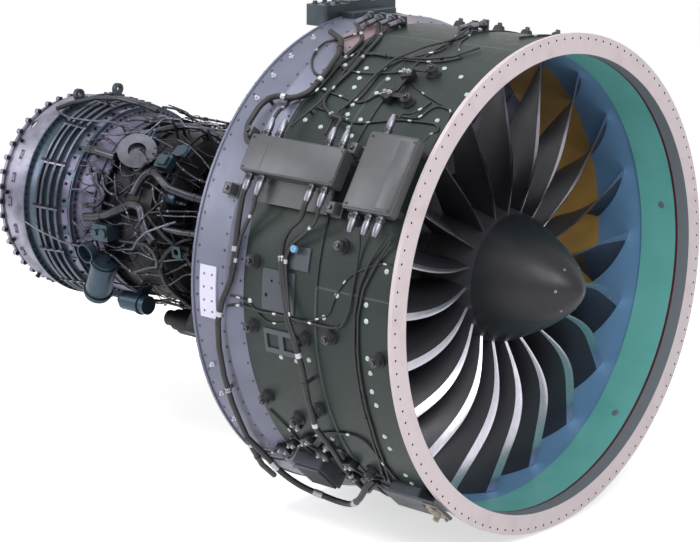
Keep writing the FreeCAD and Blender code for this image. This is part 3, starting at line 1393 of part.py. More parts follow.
SMALL_TUBES = [
    (5, [(3000, 30, 540), (2880, 34, 545), (2740, 33, 540), (2600, 29, 520), (2500, 27, 480),
         (2400, 24, 462)], (0, 3)),
    (4, [(2640, 60, 508), (2560, 58, 490), (2470, 62, 470), (2400, 66, 452), (2330, 68, 462),
         (2270, 70, 470)], (1, 4)),
    (5, [(2620, 38, 510), (2520, 36, 500), (2440, 29, 486), (2330, 31, 486), (2240, 33, 480),
         (2120, 37, 486)], (1, 3)),
    (4, [(2140, 30, 486), (2060, 32, 480), (2000, 33, 420), (1900, 40, 400), (1780, 44, 390),
         (1640, 45, 385)], (2,)),
    (5, [(2480, 104, 470), (2400, 104, 466), (2300, 107, 470), (2200, 104, 476), (2100, 106, 480),
         (2050, 107, 470),
         (1960, 108, 400)], (1, 2)),
    (4, [(2300, 12, 462), (2180, 8, 480), (2060, 6, 480), (1980, 4, 430), (1900, 4, 410), (1700, 3, 400)],
     (0, 4)),
    (5, [(2960, 96, 548), (2840, 100, 546), (2700, 104, 536), (2600, 106, 512), (2520, 104, 494)], (2, 3)),
    (4, [(2200, -20, 472), (2080, -24, 480), (1990, -22, 420), (1940, -22, 400), (1780, -24, 392)], (0, 3)),
    (5, [(2600, -30, 500), (2460, -34, 470), (2300, -30, 476), (2160, -34, 480), (2060, -36, 480),
         (2000, -36, 430)], (1, 2)),
    (5, [(2460, -76, 470), (2300, -78, 474), (2160, -74, 480), (2060, -76, 480), (1980, -78, 420),
         (1860, -76, 400)], (1, 4)),
    (4, [(2120, 126, 480), (2050, 124, 474), (1980, 120, 420), (1900, 118, 400), (1760, 116, 392)], (2,)),
    (4, [(2060, 79, 474), (1990, 78, 405), (1900, 76, 396), (1720, 75, 388)], (1, 2)),
    (5, [(2350, 33, 505), (2299, 27.8, 530), (2281, 21.5, 545), (2175, 20.7, 545), (2112, 24.6, 536),
         (2028, 22.8, 530), (1942, 20, 520), (1860, 17, 505)], (2, 5)),
    (5, [(2330, 104, 500), (2240, 101, 516), (2170, 99, 532), (2120, 93, 542), (2060, 88, 542),
         (1980, 84, 520), (1900, 80, 500)], (0, 5)),
    (4, [(2660, 74, 506), (2590, 73, 500), (2520, 75, 500), (2460, 77, 504)], (1,)),
]
small = []
for own_radius, stations, runs in SMALL_TUBES:
    small.append(clipped(stations, own_radius, runs, core_envelope, 12, own_radius * 6))
shaped("small_tubes", small)

# ---------------------------------------------------------------- control unit, junction box and mounts
ISOLATOR_PLACES = [
    (813, 81), (333, 73.8), (820, 96.2), (519, 96.4), (364, 94.6), (101, 97.1), (820, 114.8),
    (672, 119.3), (514, 114.6), (377, 133), (311, 27.4), (311, 37.5), (291, 67.2),
]


def isolator(x, angle):
    puck = size.isolator_radius
    tall = size.isolator_height
    foot = stem(puck, tall * 0.25 + 3, -3)
    waist = Part.makeCone(puck * 0.72, puck * 0.62, tall * 0.55, Vector(0, 0, tall * 0.2))
    head = stem(puck * 0.8, tall * 0.25, tall * 0.75)
    head = head.makeFillet(3, [head.Edges[0]])
    whole = placed(fused([foot, waist, head]), x, angle, barrel)
    return whole.cut(ring([(x - 100, 0), (x - 100, barrel), (x + 100, barrel), (x + 100, 0)]))


shaped("isolators", [isolator(x, angle) for x, angle in ISOLATOR_PLACES])

UNIT_X, UNIT_ANGLE, UNIT_BASE = 645, 58.4, 1128
unit_length = size.control_unit_length
unit_width = size.control_unit_width
unit_box = placed(block(unit_length, unit_width, size.control_unit_height, 10), UNIT_X, UNIT_ANGLE,
                  UNIT_BASE)
unit_tray = placed(block(430, 150, 10), 628, 64.2, UNIT_BASE - 6)
unit_feet = []
for x, angle in ((400, 55.2), (400, 66.4), (842, 55.2), (830, 66.4)):
    foot = placed(stem(15, UNIT_BASE - barrel + 8), x, angle, barrel - 2)
    unit_feet.append(foot)
barrel_core = ring([(0, 0), (0, barrel), (barrel_rear, barrel), (barrel_rear, 0)])
control_unit = fused([unit_box, unit_tray, *unit_feet]).cut(barrel_core)
shaped("control_unit", control_unit)

BOX_X, BOX_ANGLE, BOX_BASE = 172, 57.8, 1124
junction_box = fused([
    placed(block(size.junction_box_length, size.junction_box_width, size.junction_box_height, 14),
           BOX_X, BOX_ANGLE, BOX_BASE),
    *[placed(stem(15, 70), BOX_X + dx, BOX_ANGLE + turn, barrel - 4)
      for dx in (-100, 100) for turn in (-7, 7)],
]).cut(barrel_core)
shaped("junction_box", junction_box)


def plug(reach=46):
    """A round connector along its own y: coupling ring, body and backshell."""
    pieces = [
        Part.makeCylinder(14, 12, ORIGIN, Vector(0, 1, 0)),
        Part.makeCylinder(18, 16, Vector(0, 10, 0), Vector(0, 1, 0)),
        Part.makeCylinder(14, reach - 26, Vector(0, 26, 0), Vector(0, 1, 0)),
        Part.makeCone(14, 9, 22, Vector(0, reach, 0), Vector(0, 1, 0)),
    ]
    return fused(pieces)


def plugged(x, angle, radius, swing, side):
    """A connector on an upright face, `side` millimetres round from the given place."""
    copy = plug()
    copy.translate(Vector(0, side, 0))
    if side < 0:
        copy = plug()
        copy.rotate(ORIGIN, Vector(0, 0, 1), 180)
        copy.translate(Vector(0, side, 0))
    return placed(copy, x, angle, radius, swing)


unit_half = float(unit_width) / 2
box_half = float(size.junction_box_width) / 2
plugs = []
for x in (430, 505, 790, 862):
    plugs.append(plugged(x, UNIT_ANGLE, UNIT_BASE + 34, 0, -unit_half))
    plugs.append(plugged(x, UNIT_ANGLE, UNIT_BASE + 34, 0, unit_half))
for x in (100, 160, 235):
    plugs.append(plugged(x, BOX_ANGLE, BOX_BASE + 23, 0, box_half))
plugs.append(plugged(240, BOX_ANGLE, BOX_BASE + 23, 0, -box_half))
for x, angle, radius in ((962, 8.2, 1129), (923, 6.4, 1119), (885, 4.4, 1110), (846, 3.6, 1102),
                         (508, -1, 1102), (472, -2.6, 1108)):
    bracket_foot = placed(block(34, 10, radius - barrel + 46, 3), x, angle, barrel - 24)
    plugs.append(fused([plugged(x, angle, radius, 0, 2), bracket_foot]).cut(case_envelope))
shaped("connectors", plugs)

# ---------------------------------------------------------------- round fastener heads and plates
FASTENER_PLACES = [
    (848, 24.7), (803, 28.2), (677, 28.3), (856, 35.6), (663, 32), (515, 31), (648, 35.2), (510, 36),
    (367, 24.5), (293, 24.6), (170, 26.9), (63, 32.5), (590, 40.3), (581, 43.2), (496, 44.1), (786, 46.4),
    (682, 47.6), (535, 46.6), (495, 48.6), (111, 41.2), (324, 44.6), (796, 37.2), (81, 77.2), (333, 84.7),
    (170, 85.3), (166, 88.9), (831, 90.4), (401, 90.3), (165, 97.4), (157, 100.8), (165, 105.4),
    (157, 108.8), (505, 101.4), (581, 102.4), (670, 102.4), (166, 117.6), (166, 121.3), (166, 130.7),
    (169, 134.2), (516, 123.8), (800, 151), (300, 146), (620, 150), (160, 158), (720, 170), (400, -20),
    (640, -34), (220, -48), (760, -60), (300, -84), (520, -150), (240, -140), (700, -166),
]
head_r = float(size.fastener_radius)
head = fused([stem(head_r, 3, -2), Part.makeCone(head_r, head_r * 0.7, 4, Vector(0, 0, 1))])
frame_core = ring([(barrel_rear, 0), (barrel_rear, float(barrel_out)), (taper_rear, float(frame_out)),
                   (frame_rear, float(frame_out)), (frame_rear, 0)])
shaped("fastener_heads", [placed(head, x, angle, barrel).cut(barrel_core) for x, angle in FASTENER_PLACES])


def plate(front, rear, start, end, thickness, holes=()):
    """A thin plate bent to the barrel, with round holes at (x, angle, radius)."""
    sheet_metal = sector(front, rear, start, end, barrel, barrel + thickness)
    for x, angle, hole_radius in holes:
        sheet_metal = sheet_metal.cut(Part.makeCylinder(hole_radius, 60, at(x, angle, barrel - 20),
                                                        at(0, angle, 1)))
    return sheet_metal


plate_holes = [(600, 84.6, 6), (650, 84.6, 6), (700, 84.6, 6), (730, 88, 9), (600, 88.6, 6)]
window = plate(556, 750, 95.8, 101.6, 8)
for middle in (605, 700):
    window = window.cut(sector(middle - 34, middle + 34, 97, 100.4, barrel - 5, barrel + 20))
fitting = placed(fused([stem(20, 16), stem(11, 34), stem(15, 8, 26)]), 567, 76.4, barrel + 5)
pentagon = plate(500, 608, 75.7, 81, 6).fuse(fitting).removeSplitter()
bracket = sector(1006, 1104, 84, 96, float(frame_out), float(frame_out) + 7)
for x in (1030, 1078):
    for angle in (86, 89, 92, 94.5):
        bracket = bracket.cut(Part.makeCylinder(6, 60, at(x, angle, float(frame_out) - 20), at(0, angle,
                                                                                               1)))
studs = [placed(fused([stem(11, 8), stem(6, 20)]), 1085, angle, float(frame_out)).cut(frame_core)
         for angle in (21.5, 29.8, 36.7, 43.7, 108, 116, 124)]
shaped("access_plates", [plate(570, 755, 82, 91.4, 6, plate_holes), window, pentagon, bracket, *studs])

# ---------------------------------------------------------------- harnesses on the fan case
HEAVY_ROUTES = [
    ([(862, 65.87, 1171.9), (862, 67.4, 1176.6), (874, 70, 1158), (893, 73, 1132), (906, 77, 1112),
      (908, 81, 1108),
      (914, 86, 1112), (950, 91, 1128), (975, 96, 1136), (988, 102, 1136), (997, 109, 1136),
      (1008, 117, 1136),
      (1022, 124, 1136), (1060, 133, 1140), (1108, 141, 1148), (1158, 149, 1150)], (5, 10, 13)),
    ([(505, 65.87, 1171.9), (505, 67.4, 1176.6), (522, 69.8, 1160), (590, 72, 1136), (636, 74.5, 1112),
      (648, 77.5, 1101), (634, 81, 1101), (610, 85.5, 1104), (560, 92, 1128), (520, 96.5, 1131),
      (500, 102, 1130),
      (504, 110, 1132), (514, 118, 1132), (508, 126, 1110), (540, 134, 1100), (552, 142, 1100)],
      (5, 10, 14)),
    ([(1000, 20, 1136), (900, 22, 1124), (846, 27, 1112), (824, 33, 1108), (826, 40, 1110), (880, 43, 1124),
      (960, 43, 1140), (1008, 46, 1144), (1010, 52, 1152), (968, 55.5, 1158), (940, 56, 1158),
      (913, 56, 1158)],
     (1, 3, 6)),
]
LIGHT_ROUTES = [
    ([(64, 70.5, 1106), (100, 73, 1092), (146, 77.3, 1086), (186, 82, 1086), (205, 88, 1086),
      (210, 96, 1086),
      (211, 105, 1086), (216, 116, 1086), (242, 126, 1086), (282, 132.5, 1086), (322, 138.4, 1086)],
      (1, 7, 11)),
    ([(90, 69.5, 1110), (126, 72, 1094), (172, 76, 1086), (208, 81.5, 1086), (224, 88, 1086),
      (229, 96, 1086),
      (230, 105, 1086), (235, 116, 1086), (262, 125, 1086), (334, 136, 1086)], (2, 8, 12)),
    ([(235, 70, 1110), (232, 73, 1094), (238, 79, 1086), (252, 87, 1088), (290, 91.3, 1090),
      (340, 92, 1090)],
     (2, 4)),
    ([(472, 1.6, 1110), (462, 5, 1102), (420, 13, 1098), (484, 18.6, 1103), (554, 25, 1103), (577, 31, 1096),
      (585, 38, 1092), (627, 44, 1092), (611, 50, 1104)], (0, 6)),
    ([(245, 14.5, 1092), (308, 20, 1088), (400, 22.5, 1091), (500, 23.3, 1091), (592, 23.2, 1087),
      (700, 23, 1086),
      (784, 24, 1086)], (1, 4, 5)),
    ([(885, 8.6, 1112), (876, 11, 1106), (827, 15, 1098), (763, 26, 1098), (744, 35, 1094), (752, 42, 1096),
      (784, 47, 1110), (790, 50, 1130)], (0, 3, 7)),
]
heavy = []
for stations, runs in HEAVY_ROUTES:
    heavy.append(clipped(stations, size.heavy_cable_radius, runs, case_envelope, 11, 90))
shaped("heavy_harness", heavy)
light = []
for stations, runs in LIGHT_ROUTES:
    light.append(clipped(stations, size.light_cable_radius, runs, case_envelope, 8, 50))
shaped("light_harness", light)

# ---------------------------------------------------------------- engine mounts and lower bracket
beam_x = float(frame_rear) + 67
beam_foot = float(frame_out) - 45
beam_tall = 95
beam = placed(block(130, 490, beam_tall, 16), beam_x, 0, beam_foot)
beam_pad = placed(block(120, 150, 12, 6), beam_x, 0, beam_foot + beam_tall - 4)
saddle = placed(block(120, 300, 46, 8), frame_rear - 20, 0, float(frame_out) - 30)
pad_holes = [Part.makeCylinder(9, 60, Vector(beam_x + dx, dy, beam_foot + beam_tall - 40))
             for dx in (-45, 45) for dy in (-50, 50)]
lip_x = float(frame_rear - size.frame_lip_width) - 0.3
lip_top = float(frame_out + size.frame_lip_height)
frame_seat = ring([
    (barrel_rear, 0), (barrel_rear, barrel), (taper_rear, float(frame_out)), (lip_x, float(frame_out)),
    (lip_x, lip_top), (frame_rear + 0.3, lip_top), (frame_rear + 0.3, 0),
])
forward_mount = fused([beam, beam_pad, saddle]).cut(Part.makeCompound(pad_holes)).cut(frame_seat)

LUG_ANGLES = (14, -14)
lug_half = 12
lug_foot_r = float(lpt_rear_r) + 20
aft_lugs = []
for angle in LUG_ANGLES:
    base = sector(lpt_rear - lug_half, lpt_rear + lug_half, angle - 5, angle + 5, lug_foot_r, lug_foot_r + 8)
    web = placed(block(2 * lug_half, 50, 34), lpt_rear, angle, lug_foot_r + 2)
    eye = axial(lpt_rear - lug_half, angle, lug_foot_r + 30, 30, 2 * lug_half)
    bore = axial(lpt_rear - 50, angle, lug_foot_r + 30, 14, 100)
    aft_lugs.append(fused([base, web, eye]).cut(bore))
shaped("engine_mounts", [forward_mount.Solids[0], *aft_lugs])

lower_block = placed(block(170, 120, 54, 10), 210, 138.6, barrel - 8)
lower_plate = placed(block(300, 150, 12, 6), 160, 138.6, barrel + 46)
lower_bracket = fused([lower_block, lower_plate]).cut(barrel_core)
cooler = placed(block(170, 190, 70, 12), 735, 138, barrel - 8).cut(barrel_core)
shaped("lower_bracket", [lower_bracket.Solids[0], cooler.Solids[0]])


# ---------------------------------------------------------------- build, check and write
doc.recompute()
for item in doc.Objects:
    if "Invalid" in item.State or "Error" in item.State:
        raise RuntimeError(f"{item.Label} did not build: {item.State}")
os.makedirs("parts", exist_ok=True)
for piece in parts:
    if piece.Shape.isNull() or not piece.Shape.isValid() or not piece.Shape.Solids:
        raise RuntimeError(f"{piece.Label} has no valid shape")
for piece in parts:
    piece.Shape.exportStep(f"parts/{piece.Label}.step")
print(len(parts), "pieces")
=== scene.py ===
import math
import random

import bmesh
import bpy
from mathutils import Matrix, Vector


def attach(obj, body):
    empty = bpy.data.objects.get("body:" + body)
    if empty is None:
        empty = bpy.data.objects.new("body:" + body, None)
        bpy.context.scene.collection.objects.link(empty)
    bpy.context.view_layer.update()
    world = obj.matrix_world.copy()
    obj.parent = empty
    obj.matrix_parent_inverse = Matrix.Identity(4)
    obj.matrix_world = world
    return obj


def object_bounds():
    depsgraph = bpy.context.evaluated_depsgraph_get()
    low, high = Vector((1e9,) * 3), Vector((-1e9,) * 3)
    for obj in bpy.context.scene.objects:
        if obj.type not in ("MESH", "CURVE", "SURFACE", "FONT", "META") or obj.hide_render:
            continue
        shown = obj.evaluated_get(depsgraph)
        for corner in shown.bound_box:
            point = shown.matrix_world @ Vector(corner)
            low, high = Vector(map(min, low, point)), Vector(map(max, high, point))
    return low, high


# A geared turbofan jet engine, bare of its nacelle, in metres. +X points aft, +Z up and +Y to the side
# that the camera sees. A place on it is (x, angle, radius), the angle in degrees from the top towards +Y.
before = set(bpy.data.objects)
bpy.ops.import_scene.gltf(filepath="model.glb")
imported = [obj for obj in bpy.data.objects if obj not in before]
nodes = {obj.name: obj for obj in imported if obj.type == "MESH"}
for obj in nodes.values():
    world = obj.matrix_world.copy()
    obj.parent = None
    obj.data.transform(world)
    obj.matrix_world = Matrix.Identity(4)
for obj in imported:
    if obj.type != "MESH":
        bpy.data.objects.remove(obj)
cad_box = [list(corner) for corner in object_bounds()]
bpy.ops.object.select_all(action="DESELECT")

# ---------------------------------------------------------------- front attach flange
# The machined aluminium ring that the inlet cowl bolts to, under pale primer. It is turned in one piece
# with the lip that carries the seal, and drilled with a full circle of small holes, each painted dark as
# the shade inside it.
HOLE_STEP = 3.0
HOLE_CIRCLE = 1.090
HOLE_EDGE = (0.0045, 0.0056)
HOLE_PAINTED_SHADE = 0x1E1D20
BORE_EDGE = 1.0225
BORE_GREY = 0x7C838A
FLANGE_PRIMER = 0xD6C9CD
FLANGE_SOIL = 0xB7A7A9


def tone(code):
    """A colour written as on a paint card, as the linear values that Blender mixes."""
    channels = [(code >> shift & 255) / 255 for shift in (16, 8, 0)]
    return tuple(((c + 0.055) / 1.055) ** 2.4 if c > 0.04 else c / 12.92 for c in channels) + (1.0,)


class Wire:
    """One output in a finish's nodes. Sums on wires add the Math nodes that work them out."""

    def __init__(self, finish, socket):
        self.finish = finish
        self.socket = socket

    def worked(self, operation, first, second=0.0):
        return self.finish.node("ShaderNodeMath", {"operation": operation}, {0: first, 1: second})

    def __add__(self, other):
        return self.worked("ADD", self, other)

    def __radd__(self, other):
        return self.worked("ADD", other, self)

    def __sub__(self, other):
        return self.worked("SUBTRACT", self, other)

    def __rsub__(self, other):
        return self.worked("SUBTRACT", other, self)

    def __mul__(self, other):
        return self.worked("MULTIPLY", self, other)

    def __rmul__(self, other):
        return self.worked("MULTIPLY", other, self)

    def __pow__(self, other):
        return self.worked("POWER", self, other)

    def __lt__(self, other):
        return self.worked("LESS_THAN", self, other)

    def __gt__(self, other):
        return self.worked("GREATER_THAN", self, other)

    def size(self):
        return self.worked("ABSOLUTE", self)

    def ramp(self, low, high):
        """0 up to `low`, 1 from `high` on, and smooth between."""
        settings = {"interpolation_type": "SMOOTHSTEP"}
        return self.finish.node("ShaderNodeMapRange", settings, {0: self, 1: low, 2: high})


class Finish:
    """A finish being mixed: its nodes, and the place on the engine that its patterns read."""

    def __init__(self, name, colour, roughness, metallic=0.0, coat=0.0):
        self.material = bpy.data.materials.new(name)
        self.material.use_nodes = True
        self.tree = self.material.node_tree
        self.surface = self.tree.nodes["Principled BSDF"]
        self.place = self.node("ShaderNodeTexCoord", out=3)
        self.surface.inputs["Metallic"].default_value = metallic
        self.surface.inputs["Coat Weight"].default_value = coat
        self.surface.inputs["Coat Roughness"].default_value = 0.25
        self.give("Base Color", tone(colour))
        self.give("Roughness", roughness)
        self.material.diffuse_color = tone(colour)

    def node(self, kind, settings=None, sockets=None, out=0):
        node = self.tree.nodes.new(kind)
        for name, value in (settings or {}).items():
            setattr(node, name, value)
        for name, value in (sockets or {}).items():
            self.feed(node.inputs[name], value)
        return Wire(self, node.outputs[out])

    def feed(self, socket, value):
        if isinstance(value, Wire):
            self.tree.links.new(value.socket, socket)
        else:
            socket.default_value = value

    def give(self, name, value):
        self.feed(self.surface.inputs[name], value)

    def noise(self, scale, detail=4.0, stretch=(1, 1, 1)):
        place = self.place
        if stretch != (1, 1, 1):
            place = self.node("ShaderNodeMapping", {}, {"Vector": place, "Scale": stretch})
        return self.node("ShaderNodeTexNoise", {}, {"Vector": place, "Scale": scale, "Detail": detail})

    def blend(self, share, first, second):
        """A colour between two, by `share`."""
        colours = [tone(c) if isinstance(c, int) else c for c in (first, second)]
        settings = {"data_type": "RGBA", "clamp_factor": True}
        return self.node("ShaderNodeMix", settings, {0: share, 6: colours[0], 7: colours[1]}, out=2)

    def station(self):
        """(x, angle from the top in degrees, radius) of each point, as three wires."""
        split = self.node("ShaderNodeSeparateXYZ", {}, {0: self.place})
        x, y, z = [Wire(self, split.socket.node.outputs[k]) for k in range(3)]
        angle = y.worked("ARCTAN2", y, z) * (180 / math.pi)
        return x, angle, (y * y + z * z) ** 0.5

    def bump(self, height, depth, strength):
        """Relief from a height of 0 to 1, `depth` metres deep."""
        self.give("Normal", self.node("ShaderNodeBump", {}, {
            "Strength": strength, "Distance": depth, "Height": height}))

    def wear(self, *names):
        """Put this finish on CAD nodes."""
        for name in names:
            for slot in nodes[name].material_slots:
                slot.material = self.material


primer = Finish("flange_primer", FLANGE_PRIMER, 0.5)
soil = primer.noise(9.0, 6.0).ramp(0.45, 0.8)
_, angle, radius = primer.station()
from_hole = angle.worked("PINGPONG", angle, HOLE_STEP / 2) * (math.pi / 180 * HOLE_CIRCLE)
from_hole = (from_hole * from_hole + (radius - HOLE_CIRCLE) ** 2) ** 0.5
soiled = primer.blend(soil * 0.35, FLANGE_PRIMER, FLANGE_SOIL)
soiled = primer.blend(radius < BORE_EDGE, soiled, BORE_GREY)
# Painted shade: each hole and its rim are darkened as the shade that falls inside the hole.
primer.give("Base Color", primer.blend(1 - from_hole.ramp(*HOLE_EDGE), soiled, HOLE_PAINTED_SHADE))
primer.give("Roughness", 0.42 + primer.noise(60.0) * 0.16)
primer.bump(primer.noise(400.0, 2.0), 0.0004, 0.25)
primer.wear("inlet_flange")

# ---------------------------------------------------------------- fan case barrel
# The wound composite barrel round the fan, in dark green under a satin varnish. Plies overlap in broad
# patches whose edges show as faint pale lines.
CASE_GREEN = 0x26312F
CASE_DEEP = 0x1D2726
CASE_SHEEN = 0x34403F
PLY_LINE = 0x56625F
BARREL_RADIUS = 1.078
# Edges along the barrel, as (front, rear, angle), and edges round it, as (x, first angle, last angle).
PLY_LINES_ALONG = ((0.041, 0.447, 84.0), (0.462, 0.86, 63.5), (0.10, 0.86, 12.0), (0.462, 0.86, 140.0))
PLY_LINES_ROUND = ((0.447, 84.0, 150.0), (0.86, 12.0, 63.0), (0.535, 20.0, 52.0))
PLY_LINE_EDGE = (0.0024, 0.006)
PLY_WAVER = 0.006

varnish = Finish("case_varnish", CASE_GREEN, 0.42, coat=0.04)
varnish.surface.inputs["Specular IOR Level"].default_value = 0.3
x, angle, _ = varnish.station()
patches = varnish.noise(2.2, 3.0, (1.0, 1.6, 1.6)).ramp(0.35, 0.7)
speckle = varnish.noise(150.0, 3.0)
green = varnish.blend(patches, CASE_DEEP, CASE_GREEN)
green = varnish.blend((speckle - 0.5) * 0.5 + 0.1, green, CASE_SHEEN)
ply_edge = varnish.noise(22.0, 2.0) * PLY_WAVER
lines = 0.0
for front, rear, turn in PLY_LINES_ALONG:
    across = ((angle - turn) * (math.pi / 180) * BARREL_RADIUS + ply_edge).size()
    lines = lines + (1 - across.ramp(*PLY_LINE_EDGE)) * (x > front) * (x < rear)
for place, start, end in PLY_LINES_ROUND:
    across = (x + ply_edge - place).size()
    lines = lines + (1 - across.ramp(*PLY_LINE_EDGE)) * (angle > start) * (angle < end)
varnish.give("Base Color", varnish.blend(lines * 0.55, green, PLY_LINE))
varnish.give("Roughness", 0.36 + varnish.noise(35.0) * 0.2)
varnish.bump(varnish.noise(260.0, 2.0, (1.0, 0.35, 0.35)), 0.0006, 0.35)
varnish.wear("fan_case_barrel")

# ---------------------------------------------------------------- linings of the fan duct
# What the air sees inside the case: the lip's rubber seal, the teal acoustic panel behind it, the blue
# rubbing strip round the blade tips, and the ochre panel behind the fan.
PERFORATION = 320.0
LININGS = [
    # finish, colour, stain, whether it is perforated, CAD node
    ("seal_rubber", 0x5B1F2A, 0x2C1016, False, "lip_seal"),
    ("acoustic_teal", 0x72C3BD, 0x5CABA4, True, "front_liner"),
    ("rub_strip_blue", 0x6F9CC6, 0x5E8BB4, False, "fan_rub_strip"),
    ("aft_ochre", 0xC59C55, 0xA88445, True, "aft_liner"),
]

for name, colour, shade, perforated, node in LININGS:
    panel = Finish(name, colour, 0.45, coat=0.15)
    stain = panel.noise(5.0, 5.0).ramp(0.4, 0.75)
    panel.give("Base Color", panel.blend(stain * 0.5, colour, shade))
    panel.give("Roughness", 0.4 + panel.noise(40.0) * 0.15)
    if perforated:
        holes = panel.node("ShaderNodeTexVoronoi", {}, {"Vector": panel.place, "Scale": PERFORATION})
        panel.bump(holes.ramp(0.1, 0.4), 0.0006, 0.5)
    panel.wear(node)

# ---------------------------------------------------------------- fan frame and guide vanes
# The structural ring behind the fan case, its splitter and its outlet guide vanes. Painted aluminium and
# titanium in a cool grey, with a lighter pink patch near the top painted on as a highlight.
FRAME_GREY = 0x727588
FRAME_DARK = 0x636677
TOP_HIGHLIGHT_PINK = 0xA8898B
VANE_GREY = 0x8F9099
VANE_SHADE = 0x6E7078
# The painted highlight near the top: its middle as an angle and an x, and where it starts and ends to fade
# from there.
TOP_HIGHLIGHT_ANGLE = 9
TOP_HIGHLIGHT_X = 0.905
TOP_HIGHLIGHT_TURN = (10, 16)
TOP_HIGHLIGHT_REACH = (0.045, 0.07)

frame_paint = Finish("frame_paint", FRAME_GREY, 0.42, 0.35)
x, angle, _ = frame_paint.station()
# Painted highlight: a lighter pink patch on the top of the ring's front, where the light falls on it.
pink = 1 - (angle - TOP_HIGHLIGHT_ANGLE).size().ramp(*TOP_HIGHLIGHT_TURN)
pink = pink * (1 - (x - TOP_HIGHLIGHT_X).size().ramp(*TOP_HIGHLIGHT_REACH))
worn = frame_paint.noise(4.5, 5.0).ramp(0.35, 0.75)
grey = frame_paint.blend(worn * 0.6, FRAME_GREY, FRAME_DARK)
frame_paint.give("Base Color", frame_paint.blend(pink * 0.7, grey, TOP_HIGHLIGHT_PINK))
frame_paint.give("Roughness", 0.34 + frame_paint.noise(25.0) * 0.2)
frame_paint.bump(frame_paint.noise(300.0, 2.0), 0.0004, 0.25)
frame_paint.wear("fan_frame_ring")

vane_alloy = Finish("vane_alloy", VANE_GREY, 0.4, 0.6)
vane_alloy.give("Roughness", 0.32 + vane_alloy.noise(60.0, 3.0, (0.2, 1, 1)) * 0.22)
vane_alloy.give("Base Color", vane_alloy.blend(vane_alloy.noise(6.0, 4.0), VANE_GREY, VANE_SHADE))
vane_alloy.wear("exit_guide_vanes", "fan_frame_hub", "fan_bearing_support", "intermediate_case",
                "booster_case")

# ---------------------------------------------------------------- fan: blades, edges and hub
# Twenty wide swept blades in dark coated alloy, each with a bright metal sheath bonded to its leading
# edge. They stand in a forged hub behind the spinner.
BLADE_BLACK = 0x222127
BLADE_GREY = 0x38373F
BLADE_SPAN = (0.3, 1.03)
SHEATH_METAL = 0xD4D2DC
SHEATH_SHADE = 0xA5A3AE
HUB_METAL = 0x6C6B73
HUB_SHADE = 0x4E4D54

coating = Finish("blade_coating", BLADE_BLACK, 0.4, 0.25)
span = coating.station()[2].ramp(*BLADE_SPAN)
flow = coating.noise(14.0, 4.0, (1.0, 0.25, 0.25))
coating.give("Base Color", coating.blend(flow * 0.5 + span * 0.25, BLADE_BLACK, BLADE_GREY))
coating.give("Roughness", 0.33 + flow * 0.18)
coating.bump(coating.noise(500.0, 2.0), 0.0002, 0.2)
coating.wear("fan_blades")

sheath = Finish("sheath_metal", SHEATH_METAL, 0.28, 1.0)
brushed = sheath.noise(80.0, 3.0, (4.0, 0.3, 0.3))
sheath.give("Roughness", 0.2 + brushed * 0.22)
sheath.give("Base Color", sheath.blend(brushed, SHEATH_METAL, SHEATH_SHADE))
sheath.wear("blade_edges")

forging = Finish("hub_forging", HUB_METAL, 0.4, 0.8)
forging.give("Roughness", 0.32 + forging.noise(90.0) * 0.2)
forging.give("Base Color", forging.blend(forging.noise(12.0), HUB_METAL, HUB_SHADE))
forging.wear("fan_hub")

# ---------------------------------------------------------------- spinner
# The pointed cone ahead of the hub, moulded in two pieces and painted semi-gloss black. A fine dark seam
# shows where the tip ends.
SEAM_X = -0.052
SEAM_HALF = (0.0006, 0.0014)
SEAM_DARK = 0x060607
SPINNER_BLACK = 0x16161B
SPINNER_SCUFF = 0x2E2E33

black = Finish("spinner_black", SPINNER_BLACK, 0.42, coat=0.12)
scuff = black.noise(7.0, 6.0, (0.6, 1.0, 1.0)).ramp(0.5, 0.8)
seam = 1 - (black.station()[0] - SEAM_X).size().ramp(*SEAM_HALF)
scuffed = black.blend(scuff * 0.35, SPINNER_BLACK, SPINNER_SCUFF)
black.give("Base Color", black.blend(seam, scuffed, SEAM_DARK))
black.surface.inputs["Specular IOR Level"].default_value = 0.35
black.give("Roughness", 0.40 + scuff * 0.15 + black.noise(90.0) * 0.06)
black.bump(black.noise(320.0, 2.0), 0.0002, 0.2)
black.wear("spinner", "spinner_tip")

# ---------------------------------------------------------------- reduction gear and shafts
# The star gear set that slows the fan, its carrier, and the spools behind it. They are ground from
# steel and run in oil, and the bearings, drive shafts and actuator rod share their finish.
GEAR_STEEL = 0x85858C
GEAR_SHADE = 0x5E5E66

steel = Finish("ground_steel", GEAR_STEEL, 0.25, 1.0)
lay = steel.noise(120.0, 3.0, (0.2, 1.0, 1.0))
steel.give("Roughness", 0.18 + lay * 0.2)
steel.give("Base Color", steel.blend(lay, GEAR_STEEL, GEAR_SHADE))
steel.wear("fan_drive_shaft", "sun_gear", "gear_carrier", "low_spool", "high_spool", "tower_shaft",
           "lay_shaft", "shaft_bearings", "actuator_rod", *[f"star_gear_{k}" for k in range(1, 6)])

# ---------------------------------------------------------------- core cases
# The hot section's cases: nickel and titanium forgings, each with its own heat tint. Soot lies over them
# in random clouds, and painted shade darkens them towards the axis, deep between the pipes.
# The dark colour of the grime and of the painted shade, and the radii over which that painted shade fades
# out.
SOOT_AND_DEPTH_SHADE = 0x0E0D10
DEPTH_SHADE_RADII = (0.36, 0.50)


